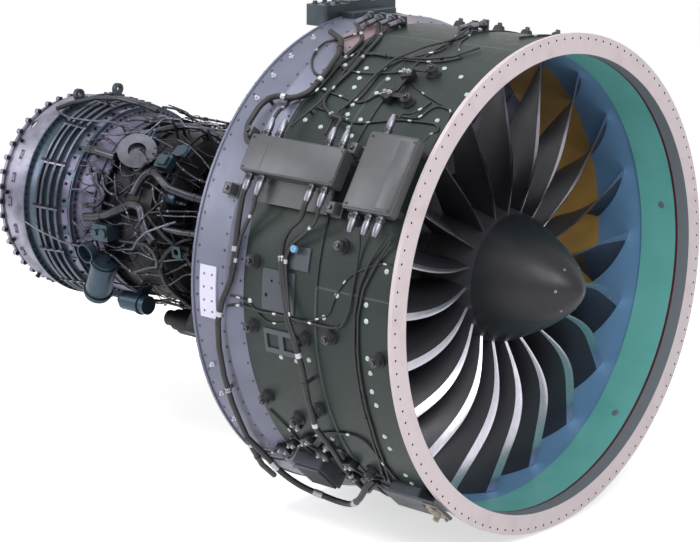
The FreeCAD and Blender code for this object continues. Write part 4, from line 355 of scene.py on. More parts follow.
def hot_alloy(name, colour, tint, soot_and_shade, roughness, *names):
    """A heat-tinted metal: clouds of its tint over its colour, and by its share on top, random clouds of
    grime and a painted shade that darkens it towards the axis.
    """
    alloy = Finish(name, colour, roughness, 0.75)
    radius = alloy.station()[2]
    cloud = alloy.noise(3.5, 5.0).ramp(0.3, 0.7)
    grime = alloy.noise(11.0, 6.0).ramp(0.45, 0.8)
    body = alloy.blend(cloud, colour, tint)
    # Painted shade: darker at smaller radii, deep between the parts where shade falls.
    body = alloy.blend((1 - radius.ramp(*DEPTH_SHADE_RADII)) * soot_and_shade, body, SOOT_AND_DEPTH_SHADE)
    alloy.give("Base Color", alloy.blend(grime * soot_and_shade, body, SOOT_AND_DEPTH_SHADE))
    alloy.give("Roughness", roughness - 0.08 + alloy.noise(45.0, 4.0, (0.4, 1, 1)) * 0.24)
    alloy.bump(alloy.noise(180.0, 3.0), 0.0006, 0.25)
    alloy.wear(*names)
    return alloy


hot_alloy("exhaust_alloy", 0xA3A2B2, 0x6E6D7E, 0.45, 0.42, "exhaust_case")
hot_alloy("turbine_alloy", 0x485462, 0x4E5A68, 0.4, 0.32, "low_turbine_case")
hot_alloy("core_alloy", 0x202127, 0x2E2F36, 0.85, 0.42, "compressor_case", "diffuser_case",
          "high_turbine_case", "vane_rings", "stator_vanes", "combustor_liner")
hot_alloy("shell_alloy", 0x8F8DA6, 0x5F5E74, 0.6, 0.44, "turbine_frame")
hot_alloy("tube_alloy", 0x4C4D56, 0x35363D, 0.6, 0.24, "core_pipes", "bleed_duct")
hot_alloy("bright_tube_alloy", 0x666A76, 0x454A55, 0.5, 0.2, "cooling_tubes", "small_tubes")
cast = hot_alloy("gearbox_casting", 0x222226, 0x303035, 0.6, 0.42, "accessory_gearbox", "gearbox_units",
                 "fuel_nozzles", "actuator_housing")
hot_alloy("canister_paint", 0x344552, 0x44545F, 0.45, 0.34, "heat_exchanger")
hot_alloy("mount_forging", 0x3E454C, 0x4C535A, 0.3, 0.42, "engine_mounts", "oil_tank")
hot_alloy("bracket_casting", 0x4A4E54, 0x60646B, 0.3, 0.5, "lower_bracket")

# ---------------------------------------------------------------- things on the fan case
# Rubber isolators, pale fastener caps, painted cover plates, the control unit and its junction box, and
# their connectors and sleeved harnesses, all held on the barrel. The plate at the rear is a white bracket.
PLATE_GREY = 0x4A4F56
BRACKET_WHITE = 0xD2D0E2
BRACKET_FROM = 0.99


def plain(name, colour, shade, roughness, metallic, *names):
    """An ordinary painted or plated finish with a little dirt."""
    finish = Finish(name, colour, roughness, metallic)
    dirt = finish.noise(16.0, 5.0).ramp(0.4, 0.75)
    finish.give("Base Color", finish.blend(dirt * 0.6, colour, shade))
    finish.give("Roughness", roughness - 0.06 + finish.noise(70.0) * 0.14)
    finish.bump(finish.noise(350.0, 2.0), 0.0003, 0.25)
    finish.wear(*names)
    return finish


rubber = plain("isolator_rubber", 0x1F1F22, 0x2E2E31, 0.6, 0.0, "isolators")
caps = plain("fastener_cap", 0xC3D0CB, 0x9FAEA9, 0.4, 0.1, "fastener_heads")
plain("unit_paint", 0x4C4D50, 0x414245, 0.45, 0.3, "control_unit", "junction_box")
plate_metal = plain("plate_metal", PLATE_GREY, 0x3E4248, 0.4, 0.4, "access_plates")
bracket_share = plate_metal.station()[0] > BRACKET_FROM
plate_metal.give("Base Color", plate_metal.blend(bracket_share, PLATE_GREY, BRACKET_WHITE))
plain("connector_metal", 0x66676D, 0x3A3B40, 0.3, 0.8, "connectors")
plain("harness_sleeve", 0x1B1B1E, 0x29292D, 0.5, 0.0, "heavy_harness", "light_harness")

# ---------------------------------------------------------------- spinner screws
# Six steel screws round the foot of the spinner's tip, sunk flush with the cone. Each has a round head
# with a dimple for the driver.
SCREW_STEEL = 0x9A9AA2
SCREW_SHADE = 0x6A6A72
TIP_SCREW_X = -0.0665
TIP_SCREW_SIZE = 0.0062
TIP_SCREW_RADIUS = 0.1056
TIP_SLOPE = math.radians(43)
TIP_SCREW_ANGLES = (25, 85, 145, 205, 265, 325)


def bare():
    """Nothing selected, so that the next operator acts on the new piece alone."""
    bpy.ops.object.select_all(action="DESELECT")


def pick(test):
    """In edit mode, select the faces whose middle and normal pass the test."""
    bpy.ops.mesh.select_mode(type="FACE")
    bpy.ops.mesh.select_all(action="DESELECT")
    piece = bpy.context.edit_object.data
    mesh = bmesh.from_edit_mesh(piece)
    for face in mesh.faces:
        face.select_set(bool(test(face.calc_center_median(), face.normal)))
    bmesh.update_edit_mesh(piece)


def turned(profile, sides=12):
    """A solid turned about its own Z through (radius, height) pairs, from its foot up."""
    bare()
    (foot, low), (waist, high) = profile[:2]
    bpy.ops.mesh.primitive_cone_add(vertices=sides, radius1=foot, radius2=waist, depth=high - low,
                                    location=(0, 0, (low + high) / 2))
    bpy.ops.object.transform_apply(location=True)
    bpy.ops.object.mode_set(mode="EDIT")
    pick(lambda middle, normal: normal.z > 0.9)
    for (last, height), (radius, top) in zip(profile[1:], profile[2:]):
        bpy.ops.mesh.extrude_region_move(TRANSFORM_OT_translate={"value": (0, 0, top - height)})
        bpy.ops.transform.resize(value=(radius / last, radius / last, 1), center_override=(0, 0, top))
    bpy.ops.object.mode_set(mode="OBJECT")
    return bpy.context.object


def stand(x, angle, radius, turn=0.0):
    """Stands a piece at a place in metres and degrees: its Z points outward and its X aft."""
    phi = math.radians(angle)
    outward = Vector((0, math.sin(phi), math.cos(phi)))
    around = Vector((0, math.cos(phi), -math.sin(phi)))
    axes = Matrix((Vector((1, 0, 0)), around, outward)).transposed().to_4x4()
    place = Matrix.Translation((x, radius * outward.y, radius * outward.z))
    return place @ axes @ Matrix.Rotation(math.radians(turn), 4, "Z")


def facing(x, angle, radius, way):
    """Lays a piece along the engine: its Z points aft for way 1 and forward for way -1."""
    return stand(x, angle, radius) @ Matrix.Rotation(way * math.pi / 2, 4, "Y")


def kept(piece, name, finish, body="root"):
    """The finished piece under its name, in its finish, riding on its body."""
    piece.name = name
    piece.data.name = name
    piece.data.materials.clear()
    piece.data.materials.append(finish.material)
    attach(piece, body)
    return piece


def planted(name, pattern, places, finish, body="root"):
    """Copies of one modelled piece, each with its own mesh, set in their places and joined."""
    copies = []
    for place in places:
        copy = pattern.copy()
        copy.data = pattern.data.copy()
        copy.data.transform(place)
        bpy.context.scene.collection.objects.link(copy)
        copies.append(copy)
    bpy.data.objects.remove(pattern)
    bare()
    for copy in copies:
        copy.select_set(True)
    bpy.context.view_layer.objects.active = copies[0]
    if len(copies) > 1:
        bpy.ops.object.join()
    bpy.ops.object.shade_smooth_by_angle(angle=math.radians(30))
    return kept(bpy.context.object, name, finish, body)


screw_steel = plain("screw_steel", SCREW_STEEL, SCREW_SHADE, 0.3, 0.9)
tip_screw = turned([(TIP_SCREW_SIZE, -0.004), (TIP_SCREW_SIZE, 0.0006), (TIP_SCREW_SIZE * 0.5, 0.0006),
                    (TIP_SCREW_SIZE * 0.45, -0.001)])
planted("tip_screws", tip_screw,
        [stand(TIP_SCREW_X, angle, TIP_SCREW_RADIUS) @ Matrix.Rotation(-TIP_SLOPE, 4, "Y")
         for angle in TIP_SCREW_ANGLES], screw_steel, "fan_rotor")

# ---------------------------------------------------------------- isolator bolts
# Each rubber isolator is held by one steel bolt with a twelve-sided head, through a washer that
# spreads its load on the rubber.
ISOLATORS = [
    # x in mm, angle
    (813, 81), (333, 73.8), (820, 96.2), (519, 96.4), (364, 94.6), (101, 97.1), (820, 114.8),
    (672, 119.3), (514, 114.6), (377, 133), (311, 27.4), (311, 37.5), (291, 67.2),
]
ISOLATOR_TOP = 1.1138
ISOLATOR_BOLT = (0.0125, 0.016, 1.6)
DARK_STEEL = 0x55565C
DARK_STEEL_SHADE = 0x35363B


def bolt_head(size, height, washer=1.5):
    """A twelve-sided bolt head on its washer, with a dished top. `washer` is the washer's share of it."""
    foot = size * washer
    return turned([(foot, -0.002), (foot, height * 0.22), (size, height * 0.24), (size, height * 0.86),
                   (size * 0.84, height), (size * 0.5, height), (size * 0.42, height * 0.8)])


dark_steel = plain("dark_steel", DARK_STEEL, DARK_STEEL_SHADE, 0.35, 0.85)
planted("isolator_bolts", bolt_head(*ISOLATOR_BOLT),
        [stand(x / 1000, angle, ISOLATOR_TOP) for x, angle in ISOLATORS], dark_steel)

# ---------------------------------------------------------------- fasteners of the fan frame ring
# Rows of flush steel bolts, turned with a dished head, hold the frame's outer ring to the barrel. Nuts
# stand round its rear lip.
RING_ROWS = [
    # x, radius, count
    (0.884, 1.0815, 72), (0.972, 1.105, 96), (1.126, 1.105, 96),
]
RING_FIRST = 1.2
FLUSH_BOLT = [(0.0065, -0.003), (0.0065, 0.0012), (0.005, 0.0024), (0.0022, 0.0024), (0.002, 0.0012)]
LIP_NUT_X = 1.158
LIP_NUT_COUNT = 96
LIP_NUT_FIRST = 1.875
LIP_NUT_RADIUS = 1.1045
LIP_NUT = (0.0042, 0.007)


def circle(count, first=0.0):
    """The angles of `count` places spread evenly round the engine."""
    return [first + 360 * k / count for k in range(count)]


def small_bolt(size, height):
    """A six-sided head on its washer, plain enough to stand in rows of a hundred."""
    return turned([(size * 1.3, -0.002), (size * 1.3, height * 0.2), (size, height * 0.2),
                   (size, height * 0.9), (size * 0.8, height)], 6)


ring_places = [stand(x, angle, radius)
               for x, radius, count in RING_ROWS for angle in circle(count, RING_FIRST)]
planted("frame_ring_bolts", turned(FLUSH_BOLT, 8), ring_places, dark_steel)
planted("frame_lip_nuts", small_bolt(*LIP_NUT),
        [facing(LIP_NUT_X, angle, LIP_NUT_RADIUS, 1) for angle in circle(LIP_NUT_COUNT, LIP_NUT_FIRST)],
        dark_steel)

# ---------------------------------------------------------------- control unit and junction box lids
# The machined lids of the two boxes, each with a raised pad or rib and a screw in every corner, and the
# corner mounts that hold the control unit off the barrel.
UNIT_PLACE = (0.645, 58.4, 1.190)
UNIT_LENGTH = 0.535
UNIT_WIDTH = 0.168
UNIT_LID_HEIGHT = 0.0035
UNIT_RIB_X = 0.158
BOX_PLACE = (0.172, 57.8, 1.170)
BOX_LID = (0.244, 0.326, 0.003, 0.0012)
BOX_PAD = (0.075, 0.30, 0.005, 0.0015)
BOX_PAD_X = -0.078
LID_SCREW = (0.0042, 0.0045)
CORNER_MOUNTS = ((0.984, 53.2), (0.981, 66.4), (0.384, 53.2), (0.384, 66.4))
CORNER_BLOCK = (0.044, 0.050, 0.052, 0.004)
CORNER_BLOCK_SEAT = 1.108
CORNER_FOOT = (0.060, 0.066, 0.006, 0.002)
CORNER_FOOT_SEAT = 1.1045
CORNER_BOLT = (0.0105, 0.012, 1.3)
CORNER_BOLT_SEAT = 1.1595
LID_METAL = 0x58595D
LID_SHADE = 0x505156


def slab(length, width, height, bevel, place, segments=2):
    """A flat block on its foot, with all its edges rounded, as a mesh in place."""
    bare()
    bpy.ops.mesh.primitive_cube_add(size=1, location=(0, 0, height / 2), scale=(length, width, height))
    bpy.ops.object.transform_apply(location=True, scale=True)
    bpy.ops.object.mode_set(mode="EDIT")
    bpy.ops.mesh.select_all(action="SELECT")
    bpy.ops.mesh.bevel(offset=bevel, segments=segments, affect="EDGES")
    bpy.ops.object.mode_set(mode="OBJECT")
    piece = bpy.context.object
    piece.data.transform(place)
    return piece


def together(name, pieces, finish, body="root"):
    """Several modelled parts of one piece, joined under its name."""
    bare()
    for piece in pieces:
        piece.select_set(True)
    bpy.context.view_layer.objects.active = pieces[0]
    if len(pieces) > 1:
        bpy.ops.object.join()
    bpy.ops.object.shade_smooth_by_angle(angle=math.radians(30))
    return kept(bpy.context.object, name, finish, body)


def moved(x, y, z=0.0):
    """A shift along a seat's own axes."""
    return Matrix.Translation((x, y, z))


def four(seat, along, side, height):
    """The four corners of a block that is held by a screw in each."""
    return [seat @ moved(x, y, height) for x in (-along, along) for y in (-side, side)]


lid_metal = plain("lid_metal", LID_METAL, LID_SHADE, 0.42, 0.45)
unit_seat = stand(*UNIT_PLACE)
together("control_unit_lid", [
    slab(UNIT_LENGTH - 0.012, UNIT_WIDTH - 0.012, UNIT_LID_HEIGHT, 0.0012, unit_seat),
    slab(0.006, UNIT_WIDTH - 0.03, 0.0045, 0.001, unit_seat @ moved(UNIT_RIB_X, 0)),
], lid_metal)
box_seat = stand(*BOX_PLACE)
together("junction_box_lid", [slab(*BOX_LID, box_seat), slab(*BOX_PAD, box_seat @ moved(BOX_PAD_X, 0))],
         lid_metal)
lid_screws = four(box_seat, 0.112, 0.152, BOX_LID[2]) + four(unit_seat, 0.252, 0.069, UNIT_LID_HEIGHT)
planted("lid_screws", small_bolt(*LID_SCREW), lid_screws, dark_steel)
corner_mounts = [slab(*CORNER_BLOCK, stand(x, angle, CORNER_BLOCK_SEAT)) for x, angle in CORNER_MOUNTS]
corner_mounts += [slab(*CORNER_FOOT, stand(x, angle, CORNER_FOOT_SEAT)) for x, angle in CORNER_MOUNTS]
together("unit_corner_mounts", corner_mounts, lid_metal)
planted("corner_mount_bolts", bolt_head(*CORNER_BOLT),
        [stand(x, angle, CORNER_BOLT_SEAT) for x, angle in CORNER_MOUNTS], dark_steel)

# ---------------------------------------------------------------- connector rings and boots
# Round multi-pin connectors on the two boxes: a square flange against the box, a knurled steel coupling
# ring screwed on it, and a foil boot shrunk over the end of the cable.
UNIT_PLUG_XS = (0.430, 0.505, 0.790, 0.862)
UNIT_PLUG_RADIUS = 1.162
BOX_PLUGS = ((0.100, 1), (0.160, 1), (0.235, 1), (0.240, -1))
BOX_PLUG_RADIUS = 1.147
BOX_HALF = 0.1725
COUPLING_RING = (0.0186, 0.012)
RING_OFF = 0.012
PLUG_FLANGE = (0.036, 0.036, 0.003, 0.0015)
BOOT = [(0.0118, 0.0), (0.0162, 0.004), (0.0168, 0.022), (0.0150, 0.040), (0.0108, 0.058), (0.0092, 0.062)]
BOOT_OFF = 0.030
RING_STEEL = 0x3F3F45
BOOT_SILVER = 0x84848E


def sideways(x, angle, radius, side, way):
    """A seat on a connector's own axis, which runs round the engine: Z points away from the box."""
    return stand(x, angle, radius) @ moved(0, side * way) @ Matrix.Rotation(-way * math.pi / 2, 4, "X")


def knurled(radius, height, sides=24):
    """A coupling ring with every second face standing out."""
    ring = turned([(radius, 0), (radius, height)], sides)
    bpy.ops.object.mode_set(mode="EDIT")
    step = 2 * math.pi / sides
    pick(lambda middle, normal: abs(normal.z) < 0.1 and
         int(math.floor(math.atan2(middle.y, middle.x) / step)) % 2 == 0)
    bpy.ops.mesh.inset(thickness=0.0003, depth=0.0011, use_individual=True)
    pick(lambda middle, normal: normal.z > 0.9)
    bpy.ops.mesh.inset(thickness=radius * 0.2, depth=-0.001)
    bpy.ops.object.mode_set(mode="OBJECT")
    return ring


plugs = [(x, UNIT_PLACE[1], UNIT_PLUG_RADIUS, UNIT_WIDTH / 2, way)
         for x in UNIT_PLUG_XS for way in (-1, 1)]
plugs += [(x, BOX_PLACE[1], BOX_PLUG_RADIUS, BOX_HALF, way) for x, way in BOX_PLUGS]
plug_places = [sideways(*plug) for plug in plugs]
ring_metal = plain("coupling_ring", RING_STEEL, 0x29292E, 0.3, 0.85)
planted("coupling_rings", knurled(*COUPLING_RING), [place @ moved(0, 0, RING_OFF) for place in plug_places],
        ring_metal)
planted("plug_flanges", slab(*PLUG_FLANGE, moved(0, 0), 1), plug_places, lid_metal)
boot_foil = plain("boot_foil", BOOT_SILVER, 0x5E5E68, 0.34, 0.9)
planted("cable_boots", turned(BOOT, 16), [place @ moved(0, 0, BOOT_OFF) for place in plug_places],
        boot_foil)

# ---------------------------------------------------------------- cables between the boxes
# Sleeved cables run from the connectors down to the barrel and along it. Silver marker sleeves, left
# blank, are shrunk on every so often. A route's places are (x in mm, angle in degrees, radius in mm).
SLEEVE_BLACK = 0x202024
SLEEVE_SHADE = 0x26262B
MARKER_SILVER = 0xB9BAC2
MARKER_SHADE = 0x8D8E96
# A sleeve, band or clip along a cable: pitch, length, height over it and, where it is given, the share
# of the pitch that the first one comes early by.
MARKER_SLEEVE = (0.21, 0.018)
BARREL = 1000 * BARREL_RADIUS
JOINT_BAND = (436, 464, 6)
FRAME_START = 862
FRAME_TAPER = 85
FRAME_RISE = 28
LIP_START = 1140
LIP_RISE = 6


def skin(x):
    """The fan case's outer radius at x, both in mm: barrel, joint band, then the frame ring."""
    front, rear, height = JOINT_BAND
    if front < x < rear:
        return BARREL + height
    up_the_taper = min(1.0, max(0.0, (x - FRAME_START) / FRAME_TAPER))
    return BARREL + up_the_taper * FRAME_RISE + (LIP_RISE if x > LIP_START else 0)


def laid(places, radius, proud=1.0):
    """Stations of a cable that lies on the case at (x mm, angle) places. A third number lifts it."""
    return [(x, angle, skin(x) + radius * 1000 + proud + sum(lift)) for x, angle, *lift in places]


def spread(stations, step=0.022):
    """A smooth path through (x mm, angle, radius mm) places, curved as the case is between them."""
    ends = [stations[0], *stations, stations[-1]]
    path = []
    for before, near, far, after in zip(ends, ends[1:], ends[2:], ends[3:]):
        round_the_case = math.radians(far[1] - near[1]) * far[2]
        reach = math.hypot(far[0] - near[0], round_the_case, far[2] - near[2]) / 1000
        count = max(1, round(reach / step))
        for k in range(count):
            t = k / count
            place = [0.5 * (2 * b + (c - a) * t + (2 * a - 5 * b + 4 * c - d) * t * t
                            + (3 * b - a - 3 * c + d) * t ** 3)
                     for a, b, c, d in zip(before, near, far, after)]
            path.append(place)
    path.append(stations[-1])
    return [Vector((x / 1000, radius / 1000 * math.sin(math.radians(angle)),
                    radius / 1000 * math.cos(math.radians(angle)))) for x, angle, radius in path]


def strands(name, runs, finish, body="root", sides=2):
    """Cables and tubes along (radius, path) runs, swept as one curve and made a mesh."""
    curve = bpy.data.curves.new(name, "CURVE")
    curve.dimensions = "3D"
    curve.bevel_depth = 1.0
    curve.bevel_resolution = sides
    curve.use_fill_caps = True
    for radius, path in runs:
        spline = curve.splines.new("POLY")
        spline.points.add(len(path) - 1)
        for point, place in zip(spline.points, path):
            point.co = (*place, 1)
            point.radius = radius
    cable = bpy.data.objects.new(name, curve)
    bpy.context.scene.collection.objects.link(cable)
    bare()
    cable.select_set(True)
    bpy.context.view_layer.objects.active = cable
    bpy.ops.object.convert(target="MESH")
    bpy.ops.object.shade_smooth_by_angle(angle=math.radians(50))
    return kept(bpy.context.object, name, finish, body)


def marks(runs, pitch, length, proud=0.0012, first=0.4):
    """Sleeves on the runs: every `pitch` metres, a short stretch of the same path, a little fatter."""
    sleeves = []
    for radius, path in runs:
        travelled = pitch * first
        for near, far in zip(path, path[1:]):
            step = (far - near).length
            travelled += step
            if travelled >= pitch and step > length * 0.3:
                travelled = 0.0
                middle = (near + far) / 2
                way = (far - near).normalized() * length / 2
                sleeves.append((radius + proud, [middle - way, middle + way]))
    return sleeves


CASE_CABLES = [
    # (radius, where it leaves a plug, its places on the case, where it ends in another plug)
    # the forward cable of each pair below the control unit, into its bundle
    (0.0085, [(430, 65.9, 1172), (430, 67.8, 1172), (442, 69.8, 1158), (502, 72.3, 1132), (586, 75.6, 1108),
              (618, 79, 1098), (608, 82.4, 1099), (588, 86.6, 1104), (556, 92, 1124)], [], []),
    (0.0085, [(790, 65.9, 1172), (790, 67.8, 1172), (800, 69.9, 1158), (840, 72.8, 1134), (880, 76.2, 1113),
              (892, 80, 1109), (904, 84, 1111), (916, 87, 1115)], [], []),
    # from the plugs along the top of the ring to those above the control unit
    (0.0085, [(962, 11.8, 1129), (962, 13, 1127)],
     [(930, 14.5, 6), (873, 17), (846, 21), (824, 29), (817, 35), (836, 39.5), (900, 42.5, 6)],
     [(880, 45.2, 1132), (864, 48.0, 1166), (862, 50.9, 1172)]),
    (0.0085, [(885, 8.0, 1110), (884, 9.4, 1108)],
     [(850, 11.5), (800, 15.5), (762, 21.5), (732, 29), (745, 36), (740, 41)],
     [(640, 44.8, 1110), (540, 46.6, 1140), (507, 48.6, 1168), (505, 50.9, 1172)]),
    (0.0050, [(923, 10, 1119), (922, 11.4, 1116)], [(915, 15), (935, 20), (990, 22.6), (984, 27), (950, 30.5),
              (905, 33), (846, 33.6)], []),
    (0.0045, [(846, 7.2, 1102), (844, 8.6, 1098)], [(826, 14), (806, 19), (812, 24), (823, 28), (800, 29.5),
              (741, 30.4), (600, 30), (470, 28), (412, 25.5)], []),
    (0.0045, [(508, 2.6, 1102), (507, 4, 1098)], [(474, 8), (440, 12), (416, 17), (470, 20.5), (552, 24.6),
              (578, 28.6), (568, 34.6), (575, 38.6), (612, 41.4)],
     [(600, 44.6, 1112), (480, 46.8, 1140), (432, 48.8, 1168), (430, 50.9, 1172)]),
    (0.0045, [(472, 1.0, 1108), (470, 2.4, 1103)],
     [(430, 6), (392, 12), (300, 18.4), (274, 19.7), (367, 22.9), (548, 23.4), (714, 22.6), (809, 23.1)], []),
    (0.0045, [], [(804, 37.6), (686, 38.5), (552, 39.6), (501, 37), (468, 35.8), (430, 33)], []),
    (0.0045, [], [(776, 42.8), (668, 43.4), (573, 45), (494, 45.2), (407, 44.2), (300, 42.8), (224, 42.5),
              (104, 42.4), (70, 44)], [(66, 46.6, 1120), (64, 49.6, 1138)]),
    (0.0040, [], [(380, 31), (350, 32.2), (261, 34.5), (154, 36.5), (81, 37.8), (58, 40.3), (52, 43.3),
              (56, 47.4)], []),
    (0.0040, [], [(330, 41.6), (211, 41.5), (185, 39.1), (150, 37.4), (84, 37.9)], []),
    (0.0045, [(240, 44.6, 1147), (240, 43.2, 1142)], [(238, 41.5, 20), (220, 38.8, 2), (202, 36.4)], []),
    # long thin wires round the near side
    (0.0055, [], [(340, 92), (363, 92.2), (438, 92.1), (571, 92.1), (668, 92), (756, 92.3), (875, 91.8),
              (938, 92.3)], []),
    (0.0040, [], [(560, 92.8), (650, 94), (729, 94.3), (776, 92.9), (825, 91.2), (874, 90.2),
                  (925, 89.8)], []),
    (0.0036, [], [(560, 92.6), (516, 92.2), (440, 91), (374, 89.3), (348, 86.4), (325, 83.7), (270, 79.9),
              (188, 77.4), (105, 75.7), (51, 76), (24, 77.7)], []),
    # low on the case, between the coolers and the bundles
    (0.0060, [], [(1099, 136, 4), (982, 135, 4), (900, 133), (768, 130), (700, 126.5), (525, 121.7),
              (375, 119.9), (292, 121.2), (259, 126.8), (240, 134)], []),
    (0.0050, [], [(1060, 139, 4), (960, 138, 4), (880, 136), (800, 128), (720, 129), (560, 133), (420, 139),
              (300, 141)], []),
    (0.0045, [], [(842, 119), (780, 124), (742, 130.7), (702, 134), (640, 132), (560, 127), (480, 128)], []),
    # on the far side, from the oil tank's gauge and underneath
    (0.0055, [(640, -84, 1130), (600, -76, 1090)], [(520, -66), (420, -58), (300, -48), (220, -30), (180, -8),
              (200, 3)], []),
    (0.0055, [(700, -132, 1092)],
     [(720, -146), (700, -160), (640, -172), (600, -184), (560, -200), (500, -214), (420, -222),
      (330, -224)], []),
    (0.0045, [], [(880, -20), (760, -24), (640, -34), (600, -46), (620, -60), (700, -72), (760, -84)], []),
    (0.0045, [], [(300, -70), (260, -90), (300, -110), (280, -130), (340, -150), (460, -160),
                  (600, -166)], []),
]
case_runs = [(radius, spread(before + laid(places, radius) + after))
             for radius, before, places, after in CASE_CABLES]
sleeving = plain("cable_sleeve", SLEEVE_BLACK, SLEEVE_SHADE, 0.46, 0.0)
strands("case_cables", case_runs, sleeving)
marker = plain("marker_sleeve", MARKER_SILVER, MARKER_SHADE, 0.32, 0.7)
strands("marker_sleeves", marks(case_runs, *MARKER_SLEEVE), marker)

# ---------------------------------------------------------------- bands on the heavy bundles
# The two heavy bundles down the near side are bound with bright foil at their branches. The sleeved
# bundles low on the case, made here, are banded too, and foil boots close the plugs over the top.
BUNDLE_RADIUS = 0.0158
BUNDLE_BANDS = [
    # a straight length of the bundle, from place to place, and the share along it
    ((906, 77, 1112), (908, 81, 1108), 0.5), ((950, 91, 1128), (975, 96, 1136), 0.6),
    ((997, 109, 1136), (1008, 117, 1136), 0.5), ((1022, 124, 1136), (1060, 133, 1140), 0.8),
    ((648, 77.5, 1101), (634, 81, 1101), 0.45), ((520, 96.5, 1131), (500, 102, 1130), 0.5),
    ((504, 110, 1132), (514, 118, 1132), 0.85), ((540, 134, 1100), (552, 142, 1100), 0.4),
    ((824, 33, 1108), (826, 40, 1110), 0.4), ((880, 43, 1124), (960, 43, 1140), 0.5),
]
BAND_HALF = 0.011
LOW_BUNDLES = [
    (0.0142, [(1040, 128.3, 1138), (985, 133.5, 1148), (950, 138, 1165), (900, 141, 1178), (840, 143, 1186),
              (756, 144.6, 1188), (685, 146, 1188), (600, 145, 1186), (520, 142, 1172), (470, 139.5, 1150),
              (430, 137, 1128), (395, 136, 1100)]),
    (0.0128, [(546, 138, 1100), (552, 143, 1103), (505, 142.5, 1116), (455, 140, 1122), (410, 138, 1108),
              (385, 137.5, 1094)]),
]
TOP_PLUGS = [(962, 8.2, 1129), (923, 6.4, 1119), (885, 4.4, 1110), (846, 3.6, 1102), (508, -1, 1102),
             (472, -2.6, 1108)]
TOP_BOOT_RADIUS = 0.0132
LOW_BAND = (0.24, 0.045, 0.0022, 0.25)


def place_of(x, angle, radius):
    """Where a route's place in mm and degrees is, in metres."""
    turn = math.radians(angle)
    return Vector((x, radius * math.sin(turn), radius * math.cos(turn))) / 1000


bundle_bands = []
for near, far, share in BUNDLE_BANDS:
    run = place_of(*far) - place_of(*near)
    middle = place_of(*near) + run * share
    bundle_bands.append((BUNDLE_RADIUS, [middle - run.normalized() * BAND_HALF,
                                         middle + run.normalized() * BAND_HALF]))
strands("bundle_bands", bundle_bands, marker, sides=4)
low_runs = [(radius, spread(stations, 0.02)) for radius, stations in LOW_BUNDLES]
strands("low_bundles", low_runs, sleeving, sides=3)
strands("low_bundle_bands", marks(low_runs, *LOW_BAND), marker, sides=3)
top_boots = [(TOP_BOOT_RADIUS, [place_of(x, angle + 3.2, radius), place_of(x - 1, angle + 5.6, radius - 1)])
             for x, angle, radius in TOP_PLUGS]
strands("top_boots", top_boots, boot_foil, sides=3)

# ---------------------------------------------------------------- harness brackets over the top
# A black steel bar between two isolators carries the cables across the case. It has two clamp blocks,
# bolted down, and a thin foot at each end.
BRACKET_BLOCKS = (
    # x, angle, turn
    (0.402, 30.2, 26), (0.410, 37.2, -18),
)
BLOCK_SIZE = (0.052, 0.060, 0.046, 0.005)
BLOCK_SEAT = 1.076
BRACKET_BAR = (0.034, 0.15, 0.012, 0.003)
BAR_PLACE = (0.400, 33.6, 1.098)
BRACKET_FOOT = (0.090, 0.024, 0.007, 0.002)
FOOT_X = 0.362
FOOT_ANGLES = (28.6, 37.4)
FOOT_SEAT = 1.111
BRACKET_BOLT = (0.0075, 0.012)
BRACKET_BOLT_SEAT = 1.122

black_steel = plain("black_steel", 0x26262A, 0x19191C, 0.42, 0.4)
bracket_parts = [slab(*BLOCK_SIZE, stand(x, angle, BLOCK_SEAT, turn)) for x, angle, turn in BRACKET_BLOCKS]
bracket_parts.append(slab(*BRACKET_BAR, stand(*BAR_PLACE)))
bracket_parts += [slab(*BRACKET_FOOT, stand(FOOT_X, angle, FOOT_SEAT)) for angle in FOOT_ANGLES]
together("harness_bracket", bracket_parts, black_steel)
planted("bracket_bolts", bolt_head(*BRACKET_BOLT),
        [stand(x + shift, angle, BRACKET_BOLT_SEAT)
         for x, angle, _ in BRACKET_BLOCKS for shift in (-0.012, 0.013)], marker)

# ---------------------------------------------------------------- fitting cap
# The blue cap over the fitting on the five-sided plate, moulded in plastic with a dished top and pushed
# on by hand to keep the fitting clean.
CAP_PROFILE = [(0.0165, -0.011), (0.0165, 0.002), (0.0145, 0.005), (0.0060, 0.005), (0.0050, 0.003)]
CAP_PLACE = (0.567, 76.4, 1.117)
CAP_BLUE = 0x6FA5C4

cap_blue = plain("cap_blue", CAP_BLUE, 0x4C7F9E, 0.35, 0.2)
planted("fitting_cap", turned(CAP_PROFILE, 12), [stand(*CAP_PLACE)], cap_blue)

# ---------------------------------------------------------------- clamps low on the case
# Black clamp blocks, bolted to the case, gather the cables beside the cooler. The cooler's thin fins and
# the buff-painted end fitting of the forward bracket stand just under them.
LOW_BLOCKS = [
    # x, angle, radius, length, width, height, turn
    (0.668, 125.6, 1.075, 0.072, 0.044, 0.040, 30), (0.604, 129.2, 1.075, 0.060, 0.052, 0.046, -20),
    (0.792, 129.0, 1.076, 0.050, 0.030, 0.036, 12), (0.884, 132.6, 1.082, 0.070, 0.040, 0.034, 0),
    (0.560, 126.4, 1.075, 0.040, 0.036, 0.030, 45), (0.700, 121.6, 1.075, 0.054, 0.022, 0.024, -35),
    (0.470, 131.0, 1.075, 0.058, 0.048, 0.042, 15), (0.560, 138.8, 1.075, 0.080, 0.034, 0.030, 0),
]
LOW_BLOCK_BEVEL = 0.004
LOW_BOLT = (0.0075, 0.012)
LOW_BOLT_SHARE = 0.28
FIN = (0.146, 0.0035, 0.013, 0.0006)
FIN_COUNT = 13
FIN_PITCH = 0.0128
COOLER_PLACE = (0.735, 138, 1.1392)
BRACKET_END = (0.050, 138.6, 1.1355)
END_BOLT = (0.0070, 0.009)
END_BUFF = 0x8F8678
END_SHADE = 0x6B6255

